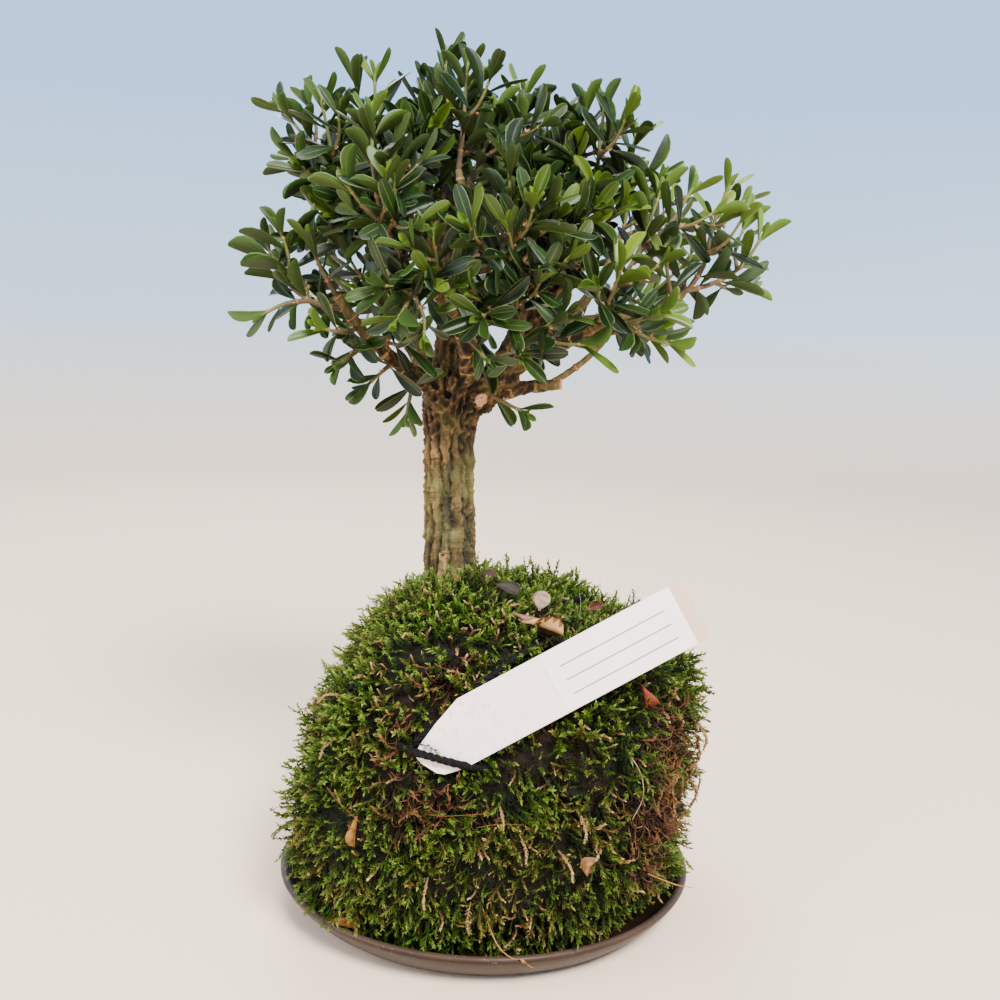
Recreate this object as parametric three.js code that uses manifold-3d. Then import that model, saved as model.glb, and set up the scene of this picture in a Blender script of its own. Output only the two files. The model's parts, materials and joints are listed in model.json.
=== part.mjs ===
// A kokedama: a small evergreen shrub growing from a ball of soil that is wrapped in moss,
// bound with cord and stood in a glazed saucer, with a stick label under the cord.
// Millimetres, +Z up. The origin is the middle of the saucer's flat base, and -Y is the front.
import * as THREE from 'three';
import { mergeVertices } from 'three/addons/utils/BufferGeometryUtils.js';
import Module from 'manifold-3d';

const wasm = await Module();
wasm.setup();

// ---- driving dimensions ----

const gap = 0.35; // left between pieces that touch
const cutGap = 0.55; // added to a piece's corners where another is cut to fit round it

const saucer = {
  footRadius: 54,
  crestRadius: 67.3,
  height: 12,
  wellRadius: 55,
  wellFloor: 3.6,
  segments: 26,
};

const ball = {
  centre: [4, 0, 48],
  halfWidth: 62,
  halfDepth: 61,
  heightAbove: 56.5, // of its centre
  heightBelow: 52,
  squarenessAbove: 2.4, // 2 is an ellipsoid, more is a rounder box
  squarenessBelow: 3,
  mossThickness: 9,
  mossDetail: 7, // how often each face of the icosahedron is split
  soilDetail: 2,
  tuftShare: 0.45, // of the points stand up as tufts
  tuftRise: 6,
  carpetRise: 0.5, // of the points between the tufts
  tuftDroop: 0.6, // of a tuft's rise
  wallClearance: 2.5, // inside the saucer's wall
  seed: 21,
};

// broad swells and hollows of the ball: where they face, how high, and how sharp
const swells = [
  { towards: [-0.8, 0, 0.6], height: -6, focus: 9 }, // the left shoulder slopes away
  { towards: [0.8, -0.1, 0.5], height: 3.5, focus: 14 }, // the right shoulder is full
  { towards: [-0.3, -0.1, 1], height: 3, focus: 20 }, // moss heaped against the trunk
  { towards: [-0.7, -0.6, -0.4], height: 2.5, focus: 10 },
  { towards: [0.6, -0.8, -0.5], height: 2, focus: 12 },
  { towards: [0.3, -1, 0.1], height: -1.5, focus: 16 },
  { towards: [0.5, 0.8, 0.2], height: 2.5, focus: 10 },
  { towards: [-0.6, 0.8, 0.1], height: -2, focus: 9 },
];

const trunk = {
  sides: 14, // every second one is a ridge
  ridge: 0.1, // of the radius, out and in
  roughness: 0.06,
  seed: 5,
  // height, sideways place and radius, from the stump in the soil up to the knuckle
  rings: [
    [64, -12.2, 5.5],
    [82, -12.7, 8],
    [98, -13.3, 8.8],
    [109, -13.6, 8.1],
    [120, -13.8, 7.6],
    [131, -14, 7.3],
    [142, -14.3, 7.4],
    [150, -14.6, 7.9],
    [157, -14.4, 8.6],
    [162, -13.6, 10.4],
    [168, -12.6, 10.2],
    [173, -12.6, 7.4],
  ],
};

const cord = {
  radius: 1.25,
  sides: 5,
  steps: 18,
  lift: 2.2, // of its middle above the ball's plain surface
  reach: 12, // how near the label's plane a turn is moved clear of the label
  pressedWidth: 3.5, // the moss is pressed flat this far to each side
  pressedSlope: 0.5, // and rises from there
  // each turn runs through two places on the ball, and is set off from its middle by an angle
  turns: [
    { through: [[8, -42.5, 46], [-24.5, -55, 19.5]], tilt: 0, over: false },
    { through: [[8, -42.5, 46], [-24.5, -55, 19.5]], tilt: -0.27, over: false },
    { through: [[-26, -54, 20], [25, -57, 8]], tilt: 0, over: true },
  ],
};

const label = {
  length: 88,
  width: 18,
  thickness: 0.8,
  rightEnd: [57.4, -51.8, 109.8], // middle of the square end
  along: [-0.871, -0.089, -0.484], // from that end to the nose
  facing: [0, -0.983, 0.182],
  mossClearance: 7, // in front of its back face
};

const sticker = {
  fromEnd: 4,
  length: 41,
  width: 17.6,
  corner: 2,
  thickness: 0.4,
};

const leaf = {
  length: 15.5,
  width: 4.8,
  widestAt: 0.6, // of the length
  tipWidth: 0.42, // of the width
  keel: 0.85, // depth of the midrib under the blade
  rim: 0.2, // the blade's edges stand this far above its middle line
  root: { halfWidth: 0.4, above: 0.25, below: 0.5 }, // where it leaves the twig
  smallest: 0.86, // of the length
  sizeSpread: 0.26,
  tipLength: 0.66, // of a young leaf at a shoot's end, against a full one
  lengthWeight: 0.25, // how far the width follows the length
};

const shoot = {
  baseRadius: 1,
  tipRadius: 0.75,
  internode: 8.5,
  leafPlace: 0.55, // how far up its step a pair of leaves stands
  tipPlace: 0.8,
  turnSpread: 0.3,
  lowSpread: 68, // degrees between the twig and its lowest leaves
  highSpread: 34,
  tipSpread: 20,
  spreadJitter: 16,
  arch: 0.16, // droop at the tip, against the leaf's length
  seed: 100,
};

// side shoots from the longer twigs, where there is room for them
const sideShoot = {
  most: 2, // on one twig
  parentLength: 20, // the least
  length: 15,
  spread: 48,
  thickness: 0.78, // against its parent's
  rootRadius: 0.5,
  start: 0.4, // how far up its parent's step it begins
  // places on its middle line between the two ends, against its length along and out from the parent
  bend: { middle: [0.45, 0.55], end: [1.15, 0.9] },
  room: 3, // from every other twig
  limbRoom: 2.4, // from a limb's bark
};

// The limbs, from the knuckle outwards: radius at the two ends, a few points of the middle line,
// and the sprays that they carry. A spray leaves its limb at a share of the limb's length and
// passes through the points given. A fork leaves the spray's own twig in the same way.
const limbs = [
  {
    name: 'left_low',
    radii: [3.4, 1.3],
    points: [[-15, -3, 162], [-24, -8, 170], [-34, -13, 177], [-41, -16, 184], [-48, -20, 194]],
    sprays: [
      { at: 1, path: [[-52, -22, 201], [-55, -25, 209]] },
      {
        at: 0.9,
        path: [[-53, -21, 191], [-61, -22, 196], [-68, -20, 207]],
        forks: [{ at: 0.35, path: [[-62, -24, 191], [-68, -26, 188]] }],
      },
      { at: 0.76, path: [[-45, -24, 183], [-50, -30, 184]] },
      { at: 0.68, path: [[-42, -22, 177], [-46, -28, 174]] },
      { at: 0.45, path: [[-34, -17, 172], [-38, -21, 168]] },
      { at: 0.27, path: [[-26, -14, 165], [-27, -17, 158]] },
      { at: 0.82, path: [[-40, -11, 194], [-40, -6, 204]] },
      { at: 0.53, path: [[-32, -19, 186], [-31, -22, 195]] },
    ],
  },
  {
    name: 'front_left',
    radii: [3.2, 1.3],
    points: [[-9, -4, 166], [-9, -18, 178], [-12, -26, 187], [-17, -30, 194], [-25, -33, 201]],
    sprays: [
      {
        at: 1,
        path: [[-32, -36, 213], [-35, -38, 225], [-36, -38, 242]],
        forks: [{ at: 0.3, path: [[-37, -42, 217], [-41, -46, 222]] }],
      },
      { at: 0.76, path: [[-17, -38, 201], [-18, -43, 209]] },
      { at: 0.86, path: [[-24, -42, 193], [-27, -49, 187]] },
      { at: 0.5, path: [[-7, -33, 181], [-3, -40, 177]] },
    ],
  },
  {
    name: 'centre_front',
    radii: [5.6, 1.7],
    points: [[-6, -3, 163], [1, -13, 174], [5, -22, 183], [7, -27, 191]],
    sprays: [
      {
        at: 1,
        path: [[5, -33, 202], [3, -38, 215], [2, -42, 231]],
        forks: [
          { at: 0.12, path: [[13, -34, 199], [20, -38, 206]] },
          { at: 0.25, path: [[-3, -38, 206], [-7, -41, 214]] },
        ],
      },
      { at: 0.7, path: [[12, -30, 185], [19, -35, 190]] },
      { at: 0.12, path: [[3, -14, 163], [8, -19, 161]] },
      { at: 0.86, path: [[-2, -34, 192], [-7, -39, 194]] },
    ],
  },
  {
    name: 'right_up',
    radii: [5.4, 1],
    points: [[-2, 0, 166], [7, 4, 180], [16, 6, 195], [24, 6, 207], [31, 4, 221], [36, 3, 232]],
    sprays: [
      { at: 1, path: [[39, 2, 239], [41, 2, 245]] },
      { at: 0.84, path: [[29, -5, 231], [29, -7, 240], [30, -7, 251]] },
      { at: 0.94, path: [[40, -2, 230], [47, -5, 232]] },
      { at: 0.74, path: [[32, -8, 218], [36, -16, 222]] },
      { at: 0.61, path: [[19, -8, 212], [20, -15, 222]] },
    ],
  },
  {
    name: 'mid_up',
    radii: [2.6, 1],
    points: [[10, 5, 186], [17, 10, 203], [16, 13, 216], [17, 13, 230]],
    sprays: [
      { at: 1, path: [[18, 11, 239], [20, 8, 251]] },
      { at: 0.88, path: [[22, 4, 232], [25, -1, 241], [25, -3, 252]] },
      { at: 0.68, path: [[9, 6, 227], [5, 3, 239], [6, 2, 256]] },
      { at: 0.5, path: [[13, -6, 216], [9, -18, 227]] },
    ],
  },
  {
    name: 'right_low',
    radii: [3, 1.7],
    points: [[-5, -4, 163], [6, -8, 167], [20, -10, 169]],
    sprays: [],
  },
  {
    name: 'right_low_twig',
    radii: [1.2, 0.9],
    points: [[15, -9.5, 168], [25, -11, 175], [31, -12, 181], [34, -13, 185]],
    sprays: [{ at: 1, path: [[39, -16, 186], [46, -19, 184]] }],
  },
  {
    name: 'right_mid',
    radii: [3, 1.8],
    points: [[0, -8, 170], [14, -14, 179], [25, -15, 184], [31, -16, 188]],
    sprays: [
      {
        at: 1,
        path: [[35, -17, 198], [41, -16, 209], [47, -13, 226]],
        forks: [{ at: 0.55, path: [[50, -15, 217], [56, -14, 227]] }],
      },
      { at: 0.92, path: [[32, -26, 194], [35, -32, 204]] },
      { at: 0.97, path: [[38, -25, 188], [46, -31, 191]] },
    ],
  },
  {
    name: 'right_far',
    radii: [1.6, 1],
    points: [[31, -16, 188], [43, -12, 192], [52, -9, 195], [58, -8, 199]],
    sprays: [
      { at: 1, path: [[62, -8, 206], [64, -8, 217], [68, -8, 229]] },
      { at: 0.96, path: [[66, -5, 201], [74, -4, 206], [80, -4, 215]] },
      { at: 0.78, path: [[51, -15, 199], [49, -19, 206]] },
      { at: 0.88, path: [[58, -1, 203], [60, 4, 211]] },
    ],
  },
  {
    name: 'left_up',
    radii: [3.8, 1],
    points: [[-18, 8, 167], [-29, 13, 186], [-38, 14, 205], [-45, 11, 222]],
    sprays: [
      { at: 1, path: [[-53, 8, 232], [-62, 6, 243], [-69, 6, 251]] },
      { at: 0.96, path: [[-51, 1, 233], [-55, -3, 251]] },
      { at: 0.91, path: [[-44, 9, 232], [-44, 6, 246], [-46, 5, 260]] },
      { at: 0.78, path: [[-40, 3, 227], [-39, -2, 243], [-39, -4, 259]] },
      { at: 0.86, path: [[-49, 2, 220], [-56, -4, 225]] },
    ],
  },
  {
    name: 'top_left',
    radii: [3, 1],
    points: [[-15, 6, 182], [-21, 15, 210], [-24, 15, 232], [-25, 14, 241]],
    sprays: [
      { at: 1, path: [[-26, 12, 250], [-24, 10, 259]] },
      { at: 0.84, path: [[-20, 7, 243], [-18, 3, 266]] },
      { at: 0.74, path: [[-28, 3, 234], [-31, -4, 243]] },
    ],
  },
  {
    name: 'top',
    radii: [3, 1.1],
    points: [[-11, -3, 182], [-8, -9, 206], [-11, -12, 222], [-13, -12, 232]],
    sprays: [
      { at: 1, path: [[-12, -12, 242], [-11, -12, 261]] },
      { at: 0.84, path: [[-6, -8, 237], [-3, -5, 249]] },
    ],
  },
  {
    name: 'back_left',
    radii: [3.6, 1.1],
    points: [[-17, 4, 165], [-29, 22, 179], [-38, 34, 196], [-43, 40, 212]],
    sprays: [
      {
        at: 1,
        path: [[-46, 44, 222], [-48, 46, 234]],
        forks: [{ at: 0.3, path: [[-53, 41, 222], [-59, 38, 229]] }],
      },
      {
        at: 0.6,
        path: [[-44, 32, 192], [-56, 34, 198]],
        forks: [{ at: 0.4, path: [[-48, 40, 192], [-53, 47, 196]] }],
      },
      {
        at: 0.8,
        path: [[-34, 43, 211], [-31, 50, 222]],
        forks: [{ at: 0.3, path: [[-28, 44, 211], [-22, 45, 217]] }],
      },
    ],
  },
  {
    name: 'back_mid',
    radii: [4, 1.1],
    points: [[-10, 4, 166], [-8, 24, 183], [-5, 36, 202], [-5, 38, 222]],
    sprays: [
      {
        at: 1,
        path: [[-6, 38, 233], [-8, 36, 246]],
        forks: [{ at: 0.35, path: [[2, 36, 237], [8, 33, 245]] }],
      },
      {
        at: 0.62,
        path: [[-6, 46, 199], [-4, 56, 207]],
        forks: [{ at: 0.35, path: [[4, 48, 202], [10, 53, 208]] }],
      },
      {
        at: 0.84,
        path: [[-16, 42, 221], [-22, 41, 234]],
        forks: [{ at: 0.4, path: [[-14, 50, 225], [-14, 55, 233]] }],
      },
    ],
  },
  {
    name: 'back_right',
    radii: [4, 1.1],
    points: [[-3, 3, 166], [13, 20, 180], [28, 32, 194], [38, 38, 210]],
    sprays: [
      {
        at: 1,
        path: [[42, 41, 221], [44, 42, 233]],
        forks: [{ at: 0.35, path: [[51, 39, 222], [58, 36, 229]] }],
      },
      {
        at: 0.62,
        path: [[36, 28, 191], [50, 27, 198], [60, 25, 207]],
        forks: [{ at: 0.25, path: [[43, 36, 193], [49, 42, 197]] }],
      },
      {
        at: 0.78,
        path: [[27, 39, 209], [24, 44, 221]],
        forks: [{ at: 0.3, path: [[20, 37, 209], [15, 34, 217]] }],
      },
    ],
  },
];

// where a leader and a side limb were sawn off, and a knot on the knuckle
const cutStubs = [
  { radii: [7.6, 5.8], sides: 8, points: [[-13, 0, 163], [-13, 1, 185], [-13, 3, 206], [-13, 4, 227]] },
  { radii: [2.6, 2.2], sides: 6, points: [[-8, -4, 164], [-6, -8, 164], [-4.5, -11.5, 163.5]] },
];

// ---- helpers ----

const vector = (x, y, z) => new THREE.Vector3(x, y, z);

// a repeatable stream of numbers from 0 to 1
function randomStream(seed) {
  let state = seed;
  return () => {
    state = (state + 0x6d2b79f5) | 0;
    let mixed = Math.imul(state ^ (state >>> 15), 1 | state);
    mixed = (mixed + Math.imul(mixed ^ (mixed >>> 7), 61 | mixed)) ^ mixed;
    return ((mixed ^ (mixed >>> 14)) >>> 0) / 4294967296;
  };
}

// A closed body through rings of points. Each ring runs counterclockwise about the way forward.
function loft(rings, isLoop = false) {
  const count = rings[0].length;
  const positions = rings.flat().flatMap((point) => [point.x, point.y, point.z]);
  const indices = [];
  const bands = isLoop ? rings.length : rings.length - 1;
  for (let i = 0; i < bands; i++) {
    const here = i * count;
    const next = ((i + 1) % rings.length) * count;
    for (let k = 0; k < count; k++) {
      const k2 = (k + 1) % count;
      indices.push(here + k, here + k2, next + k2, here + k, next + k2, next + k);
    }
  }
  if (!isLoop) {
    const last = (rings.length - 1) * count;
    for (let k = 1; k < count - 1; k++) {
      indices.push(0, k + 1, k, last, last + k, last + k + 1);
    }
  }
  const geometry = new THREE.BufferGeometry();
  geometry.setAttribute('position', new THREE.Float32BufferAttribute(positions, 3));
  geometry.setIndex(indices);
  return geometry;
}

// A round bar along a curve. radiusAt takes the share of its length and the corner's number.
function bar(curve, steps, sides, radiusAt, isLoop = false) {
  const frames = curve.computeFrenetFrames(steps, isLoop);
  const rings = [];
  for (let i = 0; i < (isLoop ? steps : steps + 1); i++) {
    const centre = curve.getPointAt(i / steps);
    const ring = [];
    for (let k = 0; k < sides; k++) {
      const angle = (2 * Math.PI * k) / sides;
      const radius = radiusAt(i / steps, k);
      ring.push(
        centre
          .clone()
          .addScaledVector(frames.normals[i], radius * Math.cos(angle))
          .addScaledVector(frames.binormals[i], radius * Math.sin(angle)),
      );
    }
    rings.push(ring);
  }
  return loft(rings, isLoop);
}

const curveThrough = (points, isLoop = false) =>
  new THREE.CatmullRomCurve3(points.map((point) => vector(...point)), isLoop);

function toSolid(geometry) {
  const bare = geometry.clone();
  bare.deleteAttribute('normal');
  bare.deleteAttribute('uv');
  const merged = mergeVertices(bare, 1e-4);
  const vertProperties = new Float32Array(merged.attributes.position.array);
  const triVerts = new Uint32Array(merged.index.array);
  return new wasm.Manifold(new wasm.Mesh({ numProp: 3, vertProperties, triVerts }));
}

function toGeometry(solid) {
  const { vertProperties, triVerts } = solid.getMesh();
  const geometry = new THREE.BufferGeometry();
  geometry.setAttribute('position', new THREE.Float32BufferAttribute(vertProperties, 3));
  geometry.setIndex(Array.from(triVerts));
  return geometry;
}

const join = (solids) => solids.reduce((whole, solid) => whole.add(solid));

// a cut can leave loose scraps, and only the largest body is kept
function largest(solid) {
  const bodies = solid.decompose();
  return bodies.reduce((best, body) => (body.volume() > best.volume() ? body : best));
}

const model = new THREE.Group();

function addMesh(name, geometry, material) {
  geometry.computeVertexNormals();
  const mesh = new THREE.Mesh(geometry, material);
  mesh.name = name;
  model.add(mesh);
}

const finish = (color, roughness) =>
  new THREE.MeshStandardMaterial({ color, roughness, metalness: 0, flatShading: true });

const materials = {
  glaze: finish(0x3a322d, 0.25),
  soil: finish(0x4a3322, 0.95),
  moss: finish(0x5a6f26, 0.95),
  bark: finish(0x7d6c4c, 0.9),
  leaf: finish(0x2f5a1e, 0.4),
  cord: finish(0x15161a, 0.8),
  label: finish(0xe9e0e0, 0.4),
  sticker: finish(0xf2ecee, 0.5),
};

// ---- saucer ----

function makeSaucer() {
  const { footRadius, crestRadius, height, wellRadius, wellFloor, segments } = saucer;
  const lip = 1.2; // half the thickness of the rolled rim
  const profile = [
    [0, 0],
    [footRadius, 0],
    [footRadius + 4, 1.4],
    [crestRadius - lip, height - 3.6],
    [crestRadius, height - lip],
    [crestRadius - lip, height],
    [crestRadius - 2.6 * lip, height - lip],
    [wellRadius + 5, wellFloor + 1.5],
    [wellRadius, wellFloor],
    [0, wellFloor],
  ];
  return new THREE.LatheGeometry(profile.map(([r, z]) => new THREE.Vector2(r, z)), segments);
}

const saucerGeometry = makeSaucer();
saucerGeometry.rotateX(Math.PI / 2);

// ---- soil and moss ----

const ballCentre = vector(...ball.centre);

// each turn of the cord lies in a plane, or on a cone about the plane's normal
const turnPlanes = cord.turns.map(({ through, tilt }) => {
  const first = vector(...through[0]).normalize();
  const normal = first.clone().cross(vector(...through[1])).normalize();
  return { first, normal, second: normal.clone().cross(first), tilt };
});

// distance from the ball's centre to its plain surface, along a unit direction
function ballRadius(direction) {
  const isAbove = direction.z > 0;
  const power = isAbove ? ball.squarenessAbove : ball.squarenessBelow;
  const halfHeight = isAbove ? ball.heightAbove : ball.heightBelow;
  const sum =
    Math.abs(direction.x / ball.halfWidth) ** power +
    Math.abs(direction.y / ball.halfDepth) ** power +
    Math.abs(direction.z / halfHeight) ** power;
  let radius = sum ** (-1 / power);
  for (const { towards, height, focus } of swells) {
    const closeness = direction.dot(vector(...towards).normalize());
    radius += height * Math.exp(focus * (closeness - 1));
  }
  return radius;
}

const ballFloor = saucer.wellFloor + gap;

// draws a point in to the saucer's well, where it is low enough to meet the sloping wall
function insideWall(point, clearance) {
  const reach = Math.hypot(point.x, point.y);
  const room = saucer.wellRadius - clearance + (point.z - saucer.wellFloor);
  if (point.z < saucer.height + clearance && reach > room) {
    point.x *= room / reach;
    point.y *= room / reach;
  }
}

// a body about the ball's centre, flat where it lies at floorHeight
function makeBall(detail, radiusOf, floorHeight) {
  const geometry = mergeVertices(stripped(new THREE.IcosahedronGeometry(1, detail)), 1e-4);
  const position = geometry.attributes.position;
  for (let i = 0; i < position.count; i++) {
    const direction = new THREE.Vector3().fromBufferAttribute(position, i).normalize();
    const point = radiusOf(direction);
    point.z = Math.max(point.z, floorHeight);
    insideWall(point, ball.wallClearance);
    position.setXYZ(i, point.x, point.y, point.z);
  }
  return geometry;
}

function stripped(geometry) {
  geometry.deleteAttribute('normal');
  geometry.deleteAttribute('uv');
  return geometry;
}

function soilSurface(extra) {
  return (direction) =>
    ballCentre.clone().addScaledVector(direction, ballRadius(direction) - ball.mossThickness + extra);
}

// how far a tuft can rise beside the turns of the cord
function roomBesideCord(direction) {
  const distances = turnPlanes.map(
    ({ normal, tilt }) => ball.halfWidth * Math.abs(Math.asin(direction.dot(normal)) - tilt),
  );
  return cord.pressedSlope * Math.max(0, Math.min(...distances) - cord.pressedWidth);
}

function mossSurface() {
  const random = randomStream(ball.seed);
  return (direction) => {
    const isTuft = random() < ball.tuftShare;
    const rise = (isTuft ? ball.tuftRise : ball.carpetRise) * (0.5 + 0.5 * random());
    const tuft = Math.min(rise, roomBesideCord(direction));
    const point = ballCentre.clone().addScaledVector(direction, ballRadius(direction) + tuft);
    point.z -= ball.tuftDroop * tuft;
    return point;
  };
}

// ---- wood ----

function trunkRings(extra) {
  const random = randomStream(trunk.seed);
  return trunk.rings.map(([height, x, radius], i) => {
    const ring = [];
    const z = i === 0 ? height - extra : height;
    for (let k = 0; k < trunk.sides; k++) {
      const angle = (2 * Math.PI * k) / trunk.sides;
      const ridge = k % 2 === 0 ? trunk.ridge : -trunk.ridge;
      const rough = trunk.roughness * (2 * random() - 1);
      const reach = radius * (1 + ridge + rough) + extra;
      ring.push(vector(x + reach * Math.cos(angle), reach * Math.sin(angle), z));
    }
    return ring;
  });
}

const limbStep = 13;

function limbSolid({ radii, points, sides = radii[0] > 3.5 ? 6 : 5 }, extra) {
  const curve = curveThrough(points);
  const steps = Math.max(2, Math.round(curve.getLength() / limbStep));
  const radiusAt = (share) => THREE.MathUtils.lerp(radii[0], radii[1], share ** 0.8) + extra;
  return toSolid(bar(curve, steps, sides, radiusAt));
}

function makeWood(extra) {
  const parts = [toSolid(loft(trunkRings(extra)))];
  for (const limb of [...limbs, ...cutStubs]) {
    parts.push(limbSolid(limb, extra));
  }
  return join(parts);
}

// ---- leafy sprays ----

// the middle line of a twig, from a start through the points of its path
const twigCurve = (start, path) =>
  new THREE.CatmullRomCurve3([start, ...path.map((point) => vector(...point))]);

// a twig has one step for each pair of leaves
const pairsOn = (curve) => Math.max(2, Math.round(curve.getLength() / shoot.internode));

const twigRadius = (share, thickness) =>
  thickness * THREE.MathUtils.lerp(shoot.baseRadius, shoot.tipRadius, share);

const twigSpace = ({ curve, thickness }) =>
  toSolid(bar(curve, pairsOn(curve), 4, (share) => twigRadius(share, thickness) + cutGap));

// the way out of a square twig's flat side, half way up one of its steps
function wayOut(frames, step, turn) {
  return frames.normals[2 * step + 1]
    .clone()
    .multiplyScalar(Math.cos(turn))
    .addScaledVector(frames.binormals[2 * step + 1], Math.sin(turn));
}

// The leaves stand on a square twig's flat sides in opposite pairs, each pair a quarter turn on
// from the one below.
function leavesOf({ curve, thickness }, random) {
  const pairs = pairsOn(curve);
  const frames = curve.computeFrenetFrames(2 * pairs, false);
  const leaves = [];
  for (let step = 0; step < pairs; step++) {
    const isTip = step === pairs - 1;
    const place = isTip ? shoot.tipPlace : shoot.leafPlace;
    const share = (step + place) / pairs;
    const middle = curve.getPointAt(share);
    const axis = frames.tangents[2 * step + 1];
    for (const side of [step % 2, (step % 2) + 2]) {
      const turn = ((side + 0.5) * Math.PI) / 2 + shoot.turnSpread * (random() - 0.5);
      const lean = THREE.MathUtils.lerp(shoot.lowSpread, shoot.highSpread, step / (pairs - 1));
      const spread = (isTip ? shoot.tipSpread : lean) + shoot.spreadJitter * (random() - 0.5);
      const size = (isTip ? leaf.tipLength : 1) * (leaf.smallest + leaf.sizeSpread * random());
      const arch = shoot.arch * (0.5 + random()) * (isTip ? 0.3 : 1);
      const out = wayOut(frames, step, turn);
      const angle = THREE.MathUtils.degToRad(spread);
      const direction = axis.clone().multiplyScalar(Math.cos(angle)).addScaledVector(out, Math.sin(angle));
      const up = axis.clone().addScaledVector(direction, -axis.dot(direction)).normalize();
      const root = middle.clone().addScaledVector(out, 0.7 * twigRadius(share, thickness));
      leaves.push({ step, side, place, root, direction, up, size, arch });
    }
  }
  return leaves;
}

// The flat sides between the leaves are free for side shoots.
function addSideShoots(twig) {
  const pairs = pairsOn(twig.curve);
  const frames = twig.curve.computeFrenetFrames(2 * pairs, false);
  for (let step = 1; step < pairs - 1; step++) {
    for (const side of [(step + 1) % 2, ((step + 1) % 2) + 2]) {
      const start = twig.curve.getPointAt((step + sideShoot.start) / pairs);
      const out = wayOut(frames, step, ((side + 0.5) * Math.PI) / 2);
      const curve = sideCurve(start, frames.tangents[2 * step + 1], out);
      if (twig.sides.length < sideShoot.most && hasRoom(curve.getSpacedPoints(6).slice(2), twig)) {
        twig.sides.push({ step, side, curve, thickness: sideShoot.thickness, sides: [] });
        break;
      }
    }
  }
}

// it leaves its parent at an angle and bends up beside it
function sideCurve(start, axis, out) {
  const angle = THREE.MathUtils.degToRad(sideShoot.spread);
  const along = sideShoot.length * Math.cos(angle);
  const across = sideShoot.length * Math.sin(angle);
  const { middle, end } = sideShoot.bend;
  const points = [middle, end].map(([shareAlong, shareAcross]) =>
    start.clone().addScaledVector(axis, shareAlong * along).addScaledVector(out, shareAcross * across),
  );
  return new THREE.CatmullRomCurve3([start, ...points]);
}

function hasRoom(points, parent) {
  const others = twigsOf(sprays).filter((twig) => twig !== parent);
  const lines = others.map(({ curve }) => curve.getSpacedPoints(8));
  const isOff = (point) =>
    lines.every((line) => line.every((other) => point.distanceTo(other) > sideShoot.room)) &&
    limbLines.every(({ line, radii }) =>
      line.every((other, i) => {
        const radius = THREE.MathUtils.lerp(radii[0], radii[1], i / (line.length - 1));
        return point.distanceTo(other) > radius + sideShoot.limbRoom;
      }),
    );
  return points.every(isOff);
}

const twigsOf = (sprayList) =>
  sprayList.flatMap(({ twigs }) => twigs.flatMap((twig) => [twig, ...twig.sides]));

// A skin is a list of points and the triangles between them. A band joins two rings of corners.
function addBand(skin, ring, next) {
  for (let k = 0; k < ring.length; k++) {
    const k2 = (k + 1) % ring.length;
    skin.faces.push(ring[k], ring[k2], next[k2], ring[k], next[k2], next[k]);
  }
}

const addPoints = (skin, points) => points.map((point) => skin.points.push(point) - 1);

// The blade's root has three corners: two edges above, and the keel below. It arches away from
// the side that faces up, and ends in a short straight tip.
function addBlade(skin, root, { root: from, direction, up, size, arch }, extra) {
  const length = leaf.length * size + extra;
  const left = new THREE.Vector3().crossVectors(up, direction);
  const across = (along, sideways, upwards) =>
    from
      .clone()
      .addScaledVector(direction, length * along)
      .addScaledVector(up, upwards - arch * length * along * along)
      .addScaledVector(left, sideways);
  const half = (leaf.width * THREE.MathUtils.lerp(1, size, leaf.lengthWeight)) / 2 + extra;
  const rim = leaf.rim + extra;
  const [l, r, keel, tipL, tipR] = addPoints(skin, [
    across(leaf.widestAt, half, rim),
    across(leaf.widestAt, -half, rim),
    across(leaf.widestAt, 0, -leaf.keel - extra),
    across(1, half * leaf.tipWidth, rim),
    across(1, -half * leaf.tipWidth, rim),
  ]);
  addBand(skin, root, [l, r, keel]);
  skin.faces.push(l, r, tipR, l, tipR, tipL, r, keel, tipR, keel, l, tipL, keel, tipL, tipR);
}

// the blade alone, as a solid, to see whether it has room
function bladeSolid(growth, extra) {
  const { root, up, direction } = growth;
  const left = new THREE.Vector3().crossVectors(up, direction);
  const half = leaf.root.halfWidth + extra;
  const skin = { points: [], faces: [] };
  const ring = addPoints(skin, [
    root.clone().addScaledVector(left, half).addScaledVector(up, leaf.root.above + extra),
    root.clone().addScaledVector(left, -half).addScaledVector(up, leaf.root.above + extra),
    root.clone().addScaledVector(up, -leaf.root.below - extra),
  ]);
  skin.faces.push(ring[0], ring[2], ring[1]);
  addBlade(skin, ring, growth, extra);
  return skinSolid(skin);
}

function skinSolid({ points, faces }) {
  const geometry = new THREE.BufferGeometry();
  geometry.setFromPoints(points);
  geometry.setIndex(faces);
  return toSolid(geometry);
}

// A flat side of a twig with a hole in it, from whose edge a leaf or a side shoot starts.
function addOpenSide(skin, corners, hole) {
  const [a, b, , d] = corners.map((index) => skin.points[index]);
  const across = b.clone().sub(a).normalize();
  const onward = d.clone().sub(a).normalize();
  const flat = (point) => {
    const offset = point.clone().sub(a);
    return new THREE.Vector2(offset.dot(across), offset.dot(onward));
  };
  const indices = [...corners, ...addPoints(skin, hole)];
  const places = indices.map((index) => flat(skin.points[index]));
  for (const face of THREE.ShapeUtils.triangulateShape(places.slice(0, 4), [places.slice(4)])) {
    const [p, q, r] = face.map((i) => places[i]);
    const turnsLeft = (q.x - p.x) * (r.y - p.y) - (q.y - p.y) * (r.x - p.x) > 0;
    skin.faces.push(...(turnsLeft ? face : face.toReversed()).map((i) => indices[i]));
  }
  return indices.slice(4);
}

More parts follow.
